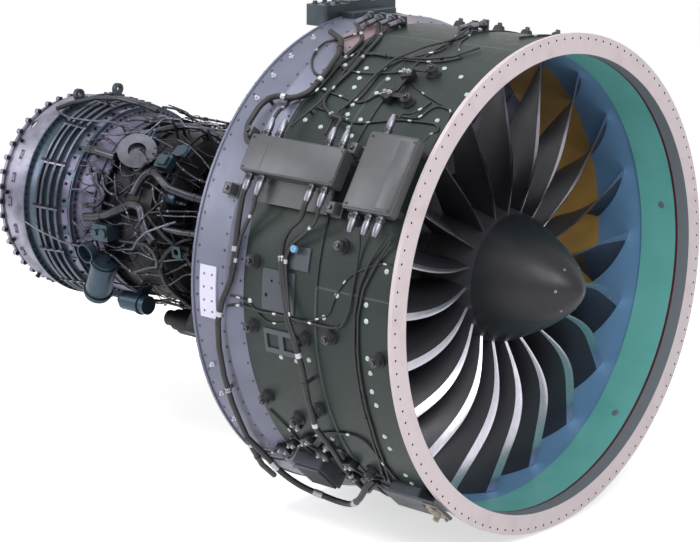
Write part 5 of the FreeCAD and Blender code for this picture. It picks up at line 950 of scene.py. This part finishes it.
low_blocks = []
low_bolt_places = []
for x, angle, radius, length, width, height, turn in LOW_BLOCKS:
    low_blocks.append(slab(length, width, height, LOW_BLOCK_BEVEL, stand(x, angle, radius, turn)))
    low_bolt_places += [stand(x, angle, radius + height, turn) @ moved(length * share, 0)
                        for share in (-LOW_BOLT_SHARE, LOW_BOLT_SHARE)]
together("low_clamp_blocks", low_blocks, black_steel)
planted("low_clamp_bolts", small_bolt(*LOW_BOLT), low_bolt_places, marker)
cooler_seat = stand(*COOLER_PLACE)
fins = [slab(*FIN, cooler_seat @ moved(0, FIN_PITCH * (k - FIN_COUNT // 2))) for k in range(FIN_COUNT)]
together("cooler_fins", fins, lid_metal)
end_buff = plain("bracket_end_paint", END_BUFF, END_SHADE, 0.42, 0.2)
end_seat = stand(*BRACKET_END)
together("bracket_end", [slab(0.076, 0.128, 0.008, 0.003, end_seat),
                         slab(0.030, 0.060, 0.026, 0.004, end_seat @ moved(-0.012, -0.02)),
                         slab(0.020, 0.024, 0.034, 0.003, end_seat @ moved(0.012, 0.04))],
         end_buff)
planted("bracket_end_bolts", small_bolt(*END_BOLT), four(end_seat, 0.030, 0.054, 0.008), dark_steel)

# ---------------------------------------------------------------- tank straps and far side caps
# Two steel straps, bent round the oil tank and bolted at their ends, hold it on the far side. Pale caps
# cover the barrel's fasteners in rows, as on the near side.
TANK_BACK = 1.200
STRAP_XS = (0.575, 0.725)
STRAP_HALF = 0.013
STRAP_TURN = (-124, -92)
STRAP_SKIN = (-0.004, 0.003)
STRAP_BOLT = (0.0085, 0.011)
STRAP_BOLT_ANGLES = (-121.5, -94.5)
CAP_ROWS = [
    # x, step, first and last angle
    (0.072, 5.5, -158, -12), (0.425, 7.5, -156, -14), (0.480, 9.0, -154, -20), (0.845, 6.5, -158, -14),
]
FASTENER_CAP = [(0.0115, -0.002), (0.0115, 0.0016), (0.0090, 0.0026)]


def bent(front, rear, start, end, inner, outer, steps=6):
    """A plate bent round the engine's axis: its end face, spun from one angle to the other."""
    bare()
    bpy.ops.mesh.primitive_plane_add(size=1)
    piece = bpy.context.object
    middle = Matrix.Translation(((front + rear) / 2, 0, (inner + outer) / 2))
    upright = Matrix.Rotation(math.pi / 2, 4, "X")
    flat = Matrix.Diagonal((rear - front, outer - inner, 1, 1))
    piece.data.transform(Matrix.Rotation(-math.radians(start), 4, "X") @ middle @ upright @ flat)
    bpy.ops.object.mode_set(mode="EDIT")
    bpy.ops.mesh.select_all(action="SELECT")
    bpy.ops.mesh.spin(steps=steps, angle=-math.radians(end - start), center=(0, 0, 0), axis=(1, 0, 0))
    bpy.ops.mesh.select_all(action="SELECT")
    bpy.ops.mesh.normals_make_consistent(inside=False)
    bpy.ops.object.mode_set(mode="OBJECT")
    return piece


strap_inner, strap_outer = [TANK_BACK + height for height in STRAP_SKIN]
together("tank_straps", [bent(x - STRAP_HALF, x + STRAP_HALF, *STRAP_TURN, strap_inner, strap_outer, 10)
                         for x in STRAP_XS], lid_metal)
planted("strap_bolts", bolt_head(*STRAP_BOLT),
        [stand(x, angle, strap_outer) for x in STRAP_XS for angle in STRAP_BOLT_ANGLES], dark_steel)
cap_places = []
for x, step, start, end in CAP_ROWS:
    cap_places += [stand(x, start + step * k, BARREL_RADIUS) for k in range(int((end - start) / step) + 1)]
planted("far_caps", turned(FASTENER_CAP, 10), cap_places, caps)

# ---------------------------------------------------------------- mount beam bolts
# Steel bolts with twelve-sided heads on top of the forward mount's beam, in two rows across it. Two of
# each row stand on either side of the raised pad.
BEAM_TOP = 1.155
BEAM_BOLT = (0.0115, 0.014)
BEAM_BOLT_XS = (1.185, 1.265)
BEAM_BOLT_SIDES = (-0.205, -0.140, 0.140, 0.205)

planted("mount_beam_bolts", bolt_head(*BEAM_BOLT),
        [moved(x, side, BEAM_TOP) for x in BEAM_BOLT_XS for side in BEAM_BOLT_SIDES], dark_steel)

# ---------------------------------------------------------------- isolators of the far side
# More rubber isolators stand over the top and down the far side. Each is moulded as a low cone on a wide
# foot and held by a steel bolt through its middle.
FAR_ISOLATORS = [(0.84, -17), (0.61, -17), (0.48, -19), (0.295, -18), (0.40, -45), (0.72, -58), (0.28, -95),
                 (0.74, -112), (0.52, -140), (0.22, -152), (0.70, -165), (0.40, -176)]
ISOLATOR_PROFILE = [(0.036, -0.004), (0.036, 0.006), (0.030, 0.009), (0.024, 0.030), (0.021, 0.035),
                    (0.013, 0.036)]
ISOLATOR_SEAT = 1.0765
ISOLATOR_HEIGHT = 0.035
FAR_BOLT = (0.0110, 0.015)

planted("far_isolators", turned(ISOLATOR_PROFILE, 20),
        [stand(x, angle, ISOLATOR_SEAT) for x, angle in FAR_ISOLATORS], rubber)
planted("far_isolator_bolts", small_bolt(*FAR_BOLT),
        [stand(x, angle, ISOLATOR_SEAT + ISOLATOR_HEIGHT) for x, angle in FAR_ISOLATORS], dark_steel)

# ---------------------------------------------------------------- liner plugs
# Two round rubber plugs are pressed into the inspection holes through the forward acoustic panel. Their
# low faces show inside the duct.
PLUG_ANGLES = (-79, -138)
PLUG_X = 0.150
PLUG_SEAT = 1.0245
PLUG_PROFILE = [(0.0175, -0.001), (0.0175, 0.0016), (0.0150, 0.0026)]
PLUG_GREY = 0x6F8087

plug_rubber = plain("plug_rubber", PLUG_GREY, 0x5C6C72, 0.5, 0.0)
planted("liner_plugs", turned(PLUG_PROFILE, 20),
        [stand(PLUG_X, angle, PLUG_SEAT) @ Matrix.Rotation(math.pi, 4, "X") for angle in PLUG_ANGLES],
        plug_rubber)

# ---------------------------------------------------------------- core flange bolts
# The cases of the core are bolted together at their flanges: heads on the front face, and shank nuts
# on the rear one, all of nickel alloy gone dark with heat.
CORE_JOINTS = [
    # x, bolt circle in front, bolt circle behind, count
    (1.325, 0.352, 0.352, 60), (2.010, 0.331, 0.331, 64), (2.330, 0.438, 0.438, 80),
    (2.480, 0.4475, 0.4475, 84), (2.668, 0.471, 0.487, 88), (2.989, 0.517, 0.517, 90),
]
JOINT_HALF = 0.008
JOINT_BOLT_SIZE = 0.0046
JOINT_FIRST = 2.0
JOINT_SIDES = [
    # piece, which way it faces, height, the column of its bolt circle
    ("flange_heads", -1, 0.008, 1), ("flange_nuts", 1, 0.011, 2),
]
HEAT_DARK = 0x2B2A31

heat_dark = plain("heat_dark_alloy", HEAT_DARK, 0x1B1A1F, 0.34, 0.85)
for name, way, height, column in JOINT_SIDES:
    places = [facing(joint[0] + way * JOINT_HALF, angle, joint[column], way)
              for joint in CORE_JOINTS for angle in circle(joint[3], JOINT_FIRST)]
    planted(name, small_bolt(JOINT_BOLT_SIZE, height), places, heat_dark)

# ---------------------------------------------------------------- turbine case bands
# Plates round the front of the low turbine case, pressed from thin sheet and held by two small bolts
# each. Cross plates clamp the cooling tubes, and a strap runs along beside each row of them.
PLATE_COUNT = 22
PLATE_FIRST = 3.0
PLATE_FRONT = 2.690
PLATE_REAR = 2.758
PLATE_FOOT = 0.4805
PLATE_TOP = 0.4885
PLATE_HALF_TURN = 5.2
PLATE_BOLT = (0.0060, 0.008)
PLATE_BOLT_X = 2.724
PLATE_BOLT_TURN = 3.1
CLAMP_XS = (2.7643, 2.8157, 2.8670, 2.9023)
CLAMP_COUNT = 14
CLAMP_FIRST = 9.0
CLAMP = (0.026, 0.013, 0.0045, 0.0015)
CLAMP_RADIUS = 0.5106
CASE_FLARE = 0.081
STRAP = (0.165, 0.011, 0.003, 0.001)
STRAP_X = 2.833
STRAP_RADIUS = 0.512
STRAP_BESIDE = 1.4
STRAP_SLOPE = math.radians(4.6)
PALE_ALLOY = 0x7E7C92

pale_alloy = hot_alloy("band_alloy", PALE_ALLOY, 0x5D5B70, 0.4, 0.28)
band_turns = circle(PLATE_COUNT, PLATE_FIRST)
bands = [bent(PLATE_FRONT, PLATE_REAR, angle - PLATE_HALF_TURN, angle + PLATE_HALF_TURN, PLATE_FOOT,
              PLATE_TOP, 5) for angle in band_turns]
together("turbine_band_plates", bands, pale_alloy)
planted("band_plate_bolts", bolt_head(*PLATE_BOLT),
        [stand(PLATE_BOLT_X, angle + turn, PLATE_TOP)
         for angle in band_turns for turn in (-PLATE_BOLT_TURN, PLATE_BOLT_TURN)], heat_dark)
clamp_turns = circle(CLAMP_COUNT, CLAMP_FIRST)
clamps = [slab(*CLAMP, stand(x, angle, CLAMP_RADIUS + (x - CLAMP_XS[0]) * CASE_FLARE), 1)
          for x in CLAMP_XS for angle in clamp_turns]
together("cooling_tube_clamps", clamps, heat_dark)
sloped = Matrix.Rotation(-STRAP_SLOPE, 4, "Y")
straps = [slab(*STRAP, stand(STRAP_X, angle + STRAP_BESIDE, STRAP_RADIUS) @ sloped, 1)
          for angle in clamp_turns]
together("cooling_tube_straps", straps, pale_alloy)

# ---------------------------------------------------------------- exhaust case fittings
# Two-bolt cover plates over the case's instrument ports, small dark probe heads turned from bar, and the
# bolts of the lugs that take the exhaust nozzle.
PORT_TURNS = (60, 74, 88, 104, 120, 150, 180, 214, 240, 268, 300, 330)
PORT_X = 3.085
PORT_STAGGER = 0.012
PORT_RADIUS = 0.5095
PORT_COVER = (0.022, 0.052, 0.005, 0.002)
PORT_BOLT = (0.0042, 0.005)
PORT_BOLT_SIDE = 0.019
COVER_ALLOY = 0x6E6C80
PROBE_TURNS = (52, 83, 112, 142, 200, 250, 290, 340)
PROBE_X = 3.130
PROBE_RADIUS = 0.500
PROBE = [(0.017, -0.004), (0.017, 0.004), (0.011, 0.007), (0.010, 0.020), (0.013, 0.021), (0.013, 0.030),
         (0.007, 0.032)]
LUG_X = 3.199
LUG_COUNT = 40
LUG_CIRCLE = 0.492
LUG_BOLT = (0.0082, 0.009, 1.35)

cover_alloy = plain("port_cover_alloy", COVER_ALLOY, 0x4E4C5C, 0.34, 0.75)
covers = []
cover_bolts = []
for index, angle in enumerate(PORT_TURNS):
    seat = stand(PORT_X + PORT_STAGGER * (index % 3), angle, PORT_RADIUS)
    covers.append(slab(*PORT_COVER, seat, 1))
    cover_bolts += [seat @ moved(0, side, 0.004) for side in (-PORT_BOLT_SIDE, PORT_BOLT_SIDE)]
together("port_covers", covers, cover_alloy)
planted("port_cover_bolts", small_bolt(*PORT_BOLT), cover_bolts, heat_dark)
planted("probe_heads", turned(PROBE, 10), [stand(PROBE_X, angle, PROBE_RADIUS) for angle in PROBE_TURNS],
        heat_dark)
planted("nozzle_lug_bolts", bolt_head(*LUG_BOLT),
        [facing(LUG_X, angle, LUG_CIRCLE, -1) for angle in circle(LUG_COUNT)], heat_dark)

# ---------------------------------------------------------------- dressing of the core
# Fuel, oil, air and sense lines lie over the hot cases in layers, as thin steel tubes with their unions
# and clips. Fine sleeved wires wander aft to fore between them.
LINE_STEEL = 0x44454D
LINE_SHADE = 0x3F3F47
LINE_UNION = (0.19, 0.022, 0.0035)
LINE_CLIP = (0.11, 0.008, 0.0022, 0.8)
LINE_DARK = 0x29282D
WIRE_SEED = 41
WIRE_COUNT = 44
WIRE_SIZES = (0.0022, 0.0028, 0.0034)
WIRE_REAR = (2560, 2650)
WIRE_FRONT = (1700, 2050)
WIRE_STEP = (45, 110)
WIRE_WANDER = 7.5
# How high the cases stand that the wires lie over, in mm, each from its x on.
CASE_TOPS = ((2480, 440), (2330, 424), (2100, 428), (0, 320))
AFT_FROM = 2470
AFT_LIFT = 22
LOW_FROM = 2060
WIRE_LIFT = (24, 62)
FORWARD_LIFT = (30, 80)

CORE_LINES = [
    # (radius, places), on the near side and the top
    (0.0065, [(2600, 64, 486), (2540, 60, 484), (2490, 62, 486), (2450, 69, 484), (2400, 72, 476),
              (2350, 71, 470), (2300, 66, 470), (2240, 62, 474), (2180, 61, 468), (2100, 64, 462),
              (2030, 68, 430), (1960, 69, 392)]),
    (0.0060, [(2655, 56, 492), (2600, 57, 494), (2540, 66, 492), (2490, 72, 480), (2440, 78, 470),
              (2380, 79, 462), (2330, 82, 470), (2260, 84, 470), (2180, 84, 468), (2120, 79, 470),
              (2040, 76, 440), (1980, 74, 392), (1880, 72, 384)]),
    (0.0050, [(2640, 92, 500), (2570, 96, 502), (2500, 98, 492), (2450, 102, 484), (2370, 104, 480),
              (2310, 102, 474), (2220, 94, 470), (2150, 92, 468), (2080, 95, 462), (2020, 97, 420),
              (1940, 96, 388), (1820, 96, 384)]),
    (0.0055, [(2560, 24, 504), (2500, 20, 500), (2440, 16, 478), (2350, 12, 476), (2260, 12, 474),
              (2180, 10, 470), (2090, 12, 466), (2010, 14, 420), (1900, 14, 392), (1760, 12, 386)]),
    (0.0070, [(2520, 112, 492), (2460, 108, 488), (2390, 110, 486), (2320, 116, 488), (2250, 120, 486),
              (2170, 118, 478), (2100, 118, 470), (2020, 116, 424), (1950, 112, 396), (1860, 112, 390)]),
    (0.0060, [(2320, 52, 486), (2270, 56, 486), (2230, 50, 480), (2190, 44, 476), (2160, 40, 474),
              (2100, 42, 474), (2050, 46, 452), (1990, 48, 402), (1900, 50, 388), (1780, 52, 384)]),
    (0.0045, [(2700, 44, 500), (2640, 42, 502), (2570, 40, 506), (2500, 42, 502), (2440, 44, 490),
              (2390, 56, 478), (2350, 60, 474), (2290, 58, 470)]),
    (0.0050, [(2620, 104, 508), (2560, 100, 506), (2500, 92, 500), (2440, 88, 478), (2360, 90, 474),
              (2300, 88, 474), (2230, 88, 474), (2160, 88, 520), (2110, 82, 524), (2070, 76, 500),
              (2040, 70, 470)]),
    (0.0040, [(2410, 60, 480), (2380, 66, 486), (2340, 74, 486), (2290, 76, 500), (2240, 80, 506),
              (2200, 86, 508), (2170, 92, 500), (2130, 100, 500), (2080, 104, 486)]),
    (0.0050, [(2140, 62, 470), (2100, 70, 474), (2060, 74, 476), (2030, 82, 452), (2000, 92, 420),
              (1980, 100, 410), (1940, 110, 400), (1900, 120, 396)]),
    # the far side and the bottom
    (0.0060, [(2600, -10, 500), (2520, -14, 498), (2440, -18, 476), (2340, -14, 474), (2240, -16, 474),
              (2140, -12, 470), (2060, -10, 456), (1980, -12, 400), (1860, -10, 390)]),
    (0.0065, [(2640, -70, 504), (2560, -72, 504), (2470, -66, 480), (2360, -68, 476), (2260, -70, 476),
              (2160, -68, 474), (2080, -64, 462), (2000, -68, 410), (1880, -70, 392)]),
    (0.0060, [(2640, -118, 506), (2560, -122, 506), (2480, -132, 486), (2380, -136, 478), (2280, -134, 476),
              (2180, -138, 472), (2100, -140, 464)]),
    (0.0070, [(2650, 150, 506), (2570, 152, 506), (2480, 150, 486), (2370, 156, 480), (2260, 152, 478),
              (2180, 158, 474), (2110, 160, 466)]),
    (0.0060, [(2650, 176, 506), (2560, 172, 506), (2470, 178, 482), (2360, 176, 478), (2250, 180, 476),
              (2150, 176, 470)]),
    (0.0060, [(2650, -160, 506), (2550, -164, 506), (2470, -158, 482), (2340, -162, 478), (2220, -158, 476),
              (2130, -162, 468)]),
    (0.0050, [(2650, -36, 502), (2560, -40, 504), (2490, -44, 484), (2400, -40, 474), (2300, -44, 474),
              (2200, -42, 474), (2090, -46, 462), (2010, -44, 416), (1900, -46, 392)]),
    (0.0050, [(2650, -86, 504), (2570, -88, 504), (2480, -90, 486), (2380, -86, 476), (2280, -84, 476),
              (2180, -86, 474), (2080, -90, 462), (2000, -88, 414), (1880, -90, 394)]),
]
core_steel = hot_alloy("line_steel", LINE_STEEL, LINE_SHADE, 0.5, 0.26)
line_runs = [(radius, spread(stations, 0.018)) for radius, stations in CORE_LINES]
strands("core_lines", line_runs, core_steel)
strands("line_unions", marks(line_runs, *LINE_UNION), heat_dark)
strands("line_clips", marks(line_runs, *LINE_CLIP), pale_alloy)

draw = random.Random(WIRE_SEED)
wires = []
for turn in range(WIRE_COUNT):
    angle = -180 + turn * 360 / WIRE_COUNT + draw.uniform(-3, 3)
    x = draw.uniform(*WIRE_REAR)
    stations = []
    while x > draw.uniform(*WIRE_FRONT):
        case_top = next(top for start, top in CASE_TOPS if x > start)
        lift = draw.uniform(*(WIRE_LIFT if x > LOW_FROM else FORWARD_LIFT))
        if x > AFT_FROM:
            lift += AFT_LIFT
        stations.append((x, angle, case_top + lift))
        x -= draw.uniform(*WIRE_STEP)
        angle += draw.uniform(-WIRE_WANDER, WIRE_WANDER)
    if len(stations) > 3:
        wires.append((draw.choice(WIRE_SIZES), spread(stations, 0.024)))
dark_wire = plain("sleeved_wire", LINE_DARK, 0x17161A, 0.45, 0.3)
strands("core_wires", wires, dark_wire, sides=1)

# ---------------------------------------------------------------- blankets and hoses of the core
# Black blankets, bent to the diffuser case, cover it between its flanges as painted shade, dark sheets over
# the dark middle of the core. Rubber-sleeved hoses come up from the gearbox, past the filter bowls on their
# saddles over the compressor and the blue valve box.
BLANKET_BLACK = 0x141417
BLANKET_SHADE = 0x232327
BLANKET_SKIN = (0.426, 0.4475)
# Each blanket, as (front, rear, first angle, last angle).
BLANKETS = [(2.135, 2.225, 47, 61), (2.235, 2.315, 45, 60), (2.135, 2.315, 63, 77), (2.14, 2.22, 79, 94),
            (2.23, 2.315, 79, 93), (2.135, 2.315, 96, 109), (2.135, 2.315, 132, 176),
            (2.135, 2.315, -60, -8), (2.135, 2.315, -124, -66), (2.135, 2.315, -178, -130)]
HOSES = [
    (0.013, [(1920, 150, 470), (1900, 140, 440), (1860, 128, 402), (1820, 116, 392), (1780, 104, 388),
             (1700, 104, 388), (1600, 108, 388), (1480, 111, 392), (1380, 110, 404), (1345, 108, 416)]),
    (0.011, [(1980, 158, 452), (2020, 146, 474), (2060, 134, 476), (2080, 122, 476), (2060, 110, 472),
             (2025, 102, 452), (1970, 96, 410), (1900, 92, 388)]),
    (0.016, [(1750, 150, 462), (1720, 140, 430), (1660, 130, 402), (1620, 118, 398), (1600, 106, 398),
             (1520, 114, 398), (1420, 119, 404), (1350, 118, 416)]),
    (0.010, [(1840, 156, 470), (1850, 138, 430), (1900, 124, 400), (1930, 112, 396), (1960, 102, 400),
             (2030, 90, 462), (2090, 84, 474), (2130, 80, 476)]),
    (0.012, [(1600, 152, 460), (1560, 140, 420), (1500, 126, 396), (1440, 127, 394), (1380, 125, 404)]),
    (0.010, [(1860, 36, 384), (1800, 30, 380), (1700, 28, 380), (1600, 34, 380), (1500, 42, 380),
             (1420, 44, 384), (1350, 46, 400)]),
    (0.012, [(1980, -150, 450), (1940, -134, 420), (1880, -116, 396), (1800, -96, 392), (1700, -80, 392),
             (1560, -72, 392), (1420, -66, 396)]),
    (0.011, [(1700, -152, 460), (1660, -130, 410), (1600, -108, 394), (1520, -96, 394), (1400, -90, 400)]),
]
BOWLS = [
    # x, angle, radius, size, length: along the engine
    (1.70, 118, 0.418, 0.034, 0.16), (1.52, 122, 0.412, 0.028, 0.12), (1.88, 100, 0.408, 0.024, 0.10),
    (1.60, 72, 0.400, 0.026, 0.13), (1.66, -122, 0.418, 0.034, 0.15), (1.86, -84, 0.408, 0.026, 0.12),
]
HOSE_END = (0.24, 0.030, 0.0035)
BOWL_PROFILE = [(0.55, -0.05), (0.55, 0.04), (1.0, 0.08), (1.0, 0.7), (1.18, 0.71), (1.18, 0.79),
                (1.0, 0.80), (0.8, 0.94), (0.4, 1.0)]
SADDLE_FOOT = 0.335
VALVE_PLACE = (2.358, 30.7, 0.425, 24)
VALVE_SCREW = (0.0048, 0.005)
VALVE_BLUE = 0x4B5A6B
VALVE_SHADE = 0x364352

blanket = plain("shade_blanket_black", BLANKET_BLACK, BLANKET_SHADE, 0.62, 0.1)
# Painted shade: black sheets that stand for the shade in the middle of the core.
together("shade_blankets", [bent(*place, *BLANKET_SKIN, 4) for place in BLANKETS], blanket)
hose_runs = [(radius, spread(stations, 0.02)) for radius, stations in HOSES]
strands("oil_hoses", hose_runs, sleeving, sides=3)
strands("hose_ends", marks(hose_runs, *HOSE_END), heat_dark, sides=3)
planted("filter_bowls", turned(BOWL_PROFILE, 20),
        [facing(x, angle, radius, 1) @ Matrix.Diagonal((size, size, length, 1))
         for x, angle, radius, size, length in BOWLS], cast)
saddles = [slab(0.030, size * 1.5, radius - SADDLE_FOOT, 0.003, stand(x + length * 0.5, angle, SADDLE_FOOT))
           for x, angle, radius, size, length in BOWLS]
together("bowl_saddles", saddles, cast)
valve_blue = plain("valve_paint", VALVE_BLUE, VALVE_SHADE, 0.32, 0.5)
valve_seat = stand(*VALVE_PLACE)
together("valve_box", [slab(0.088, 0.076, 0.064, 0.006, valve_seat),
                       slab(0.064, 0.054, 0.078, 0.005, valve_seat),
                       slab(0.030, 0.120, 0.030, 0.004, valve_seat)], valve_blue)
planted("valve_screws", small_bolt(*VALVE_SCREW), four(valve_seat, 0.036, 0.031, 0.064), marker)

# ---------------------------------------------------------------- floor, light and camera
# A pale studio floor under the engine, soft light from above and in front, and the long lens that the
# engine is seen through.
FLOOR_DROP = 0.02
FLOOR_WIDTH = 80
FLOOR_X = 1.5
FLOOR_GLOW = 0xCFCFCF
SKY_LIGHT = 0.3
CAMERA_PLACE = Vector((-5.7006, 7.7069, 2.3491))
CAMERA_BACK = Vector((-0.650, 0.7233, 0.2326))
CAMERA_ROLL = math.radians(0.3324)
LENS = 115.32
LAMPS = [
    # name, place, what it points at, width in metres, power in watts
    ("key_lamp", (-7.0, 5.0, 6.5), (0.6, 0, 0.2), 5.0, 620),
    ("top_lamp", (1.8, 3.0, 7.0), (1.6, 0, 0.3), 5.0, 260),
    ("aft_lamp", (6.5, 5.5, 3.0), (2.2, 0, 0), 3.0, 160),
]

scene = bpy.context.scene
scene.view_settings.view_transform = "Standard"
scene.world = bpy.data.worlds.new("studio")


class Sky(Finish):
    """The light of the room, mixed as a finish is."""

    def __init__(self, world):
        world.use_nodes = True
        self.tree = world.node_tree
        self.surface = self.tree.nodes["Background"]


def background_rays(finish):
    """1 on the rays that show the background, straight on or in metal and glass."""
    rays = finish.node("ShaderNodeLightPath").socket.node.outputs
    kinds = ("Camera", "Glossy", "Transmission")
    camera, glossy, clear = [Wire(finish, rays[f"Is {kind} Ray"]) for kind in kinds]
    return camera.worked("MAXIMUM", camera.worked("MAXIMUM", camera, glossy), clear)


sky = Sky(scene.world)
sky.give("Color", (1.0, 1.0, 1.0, 1.0))
sky.give("Strength", SKY_LIGHT + background_rays(sky) * (1 - SKY_LIGHT))

bare()
bpy.ops.mesh.primitive_plane_add(size=FLOOR_WIDTH, location=(FLOOR_X, 0, cad_box[0][2] - FLOOR_DROP))
floor = bpy.context.object
floor.name = "studio_floor"
floor_paint = Finish("floor_paint", 0xFFFFFF, 0.9)
floor_paint.give("Emission Strength", 1.0)
floor_paint.give("Emission Color", floor_paint.blend(background_rays(floor_paint), 0x000000, FLOOR_GLOW))
floor.data.materials.append(floor_paint.material)

for name, place, target, width, power in LAMPS:
    bpy.ops.object.light_add(type="AREA", location=place)
    lamp = bpy.context.object
    lamp.name = name
    lamp.data.size = width
    lamp.data.energy = power
    lamp.rotation_euler = (Vector(target) - Vector(place)).to_track_quat("-Z", "Y").to_euler()

back = CAMERA_BACK.normalized()
right = Vector((0, 0, 1)).cross(back).normalized()
up = back.cross(right)
rolled_right = right * math.cos(CAMERA_ROLL) + up * math.sin(CAMERA_ROLL)
rolled_up = up * math.cos(CAMERA_ROLL) - right * math.sin(CAMERA_ROLL)
lens = bpy.data.cameras.new("lens")
lens.lens = LENS
lens.sensor_width = 36
lens.clip_end = 200
camera = bpy.data.objects.new("camera", lens)
scene.collection.objects.link(camera)
camera.matrix_world = Matrix((rolled_right, rolled_up, back)).transposed().to_4x4()
camera.location = CAMERA_PLACE
scene.camera = camera
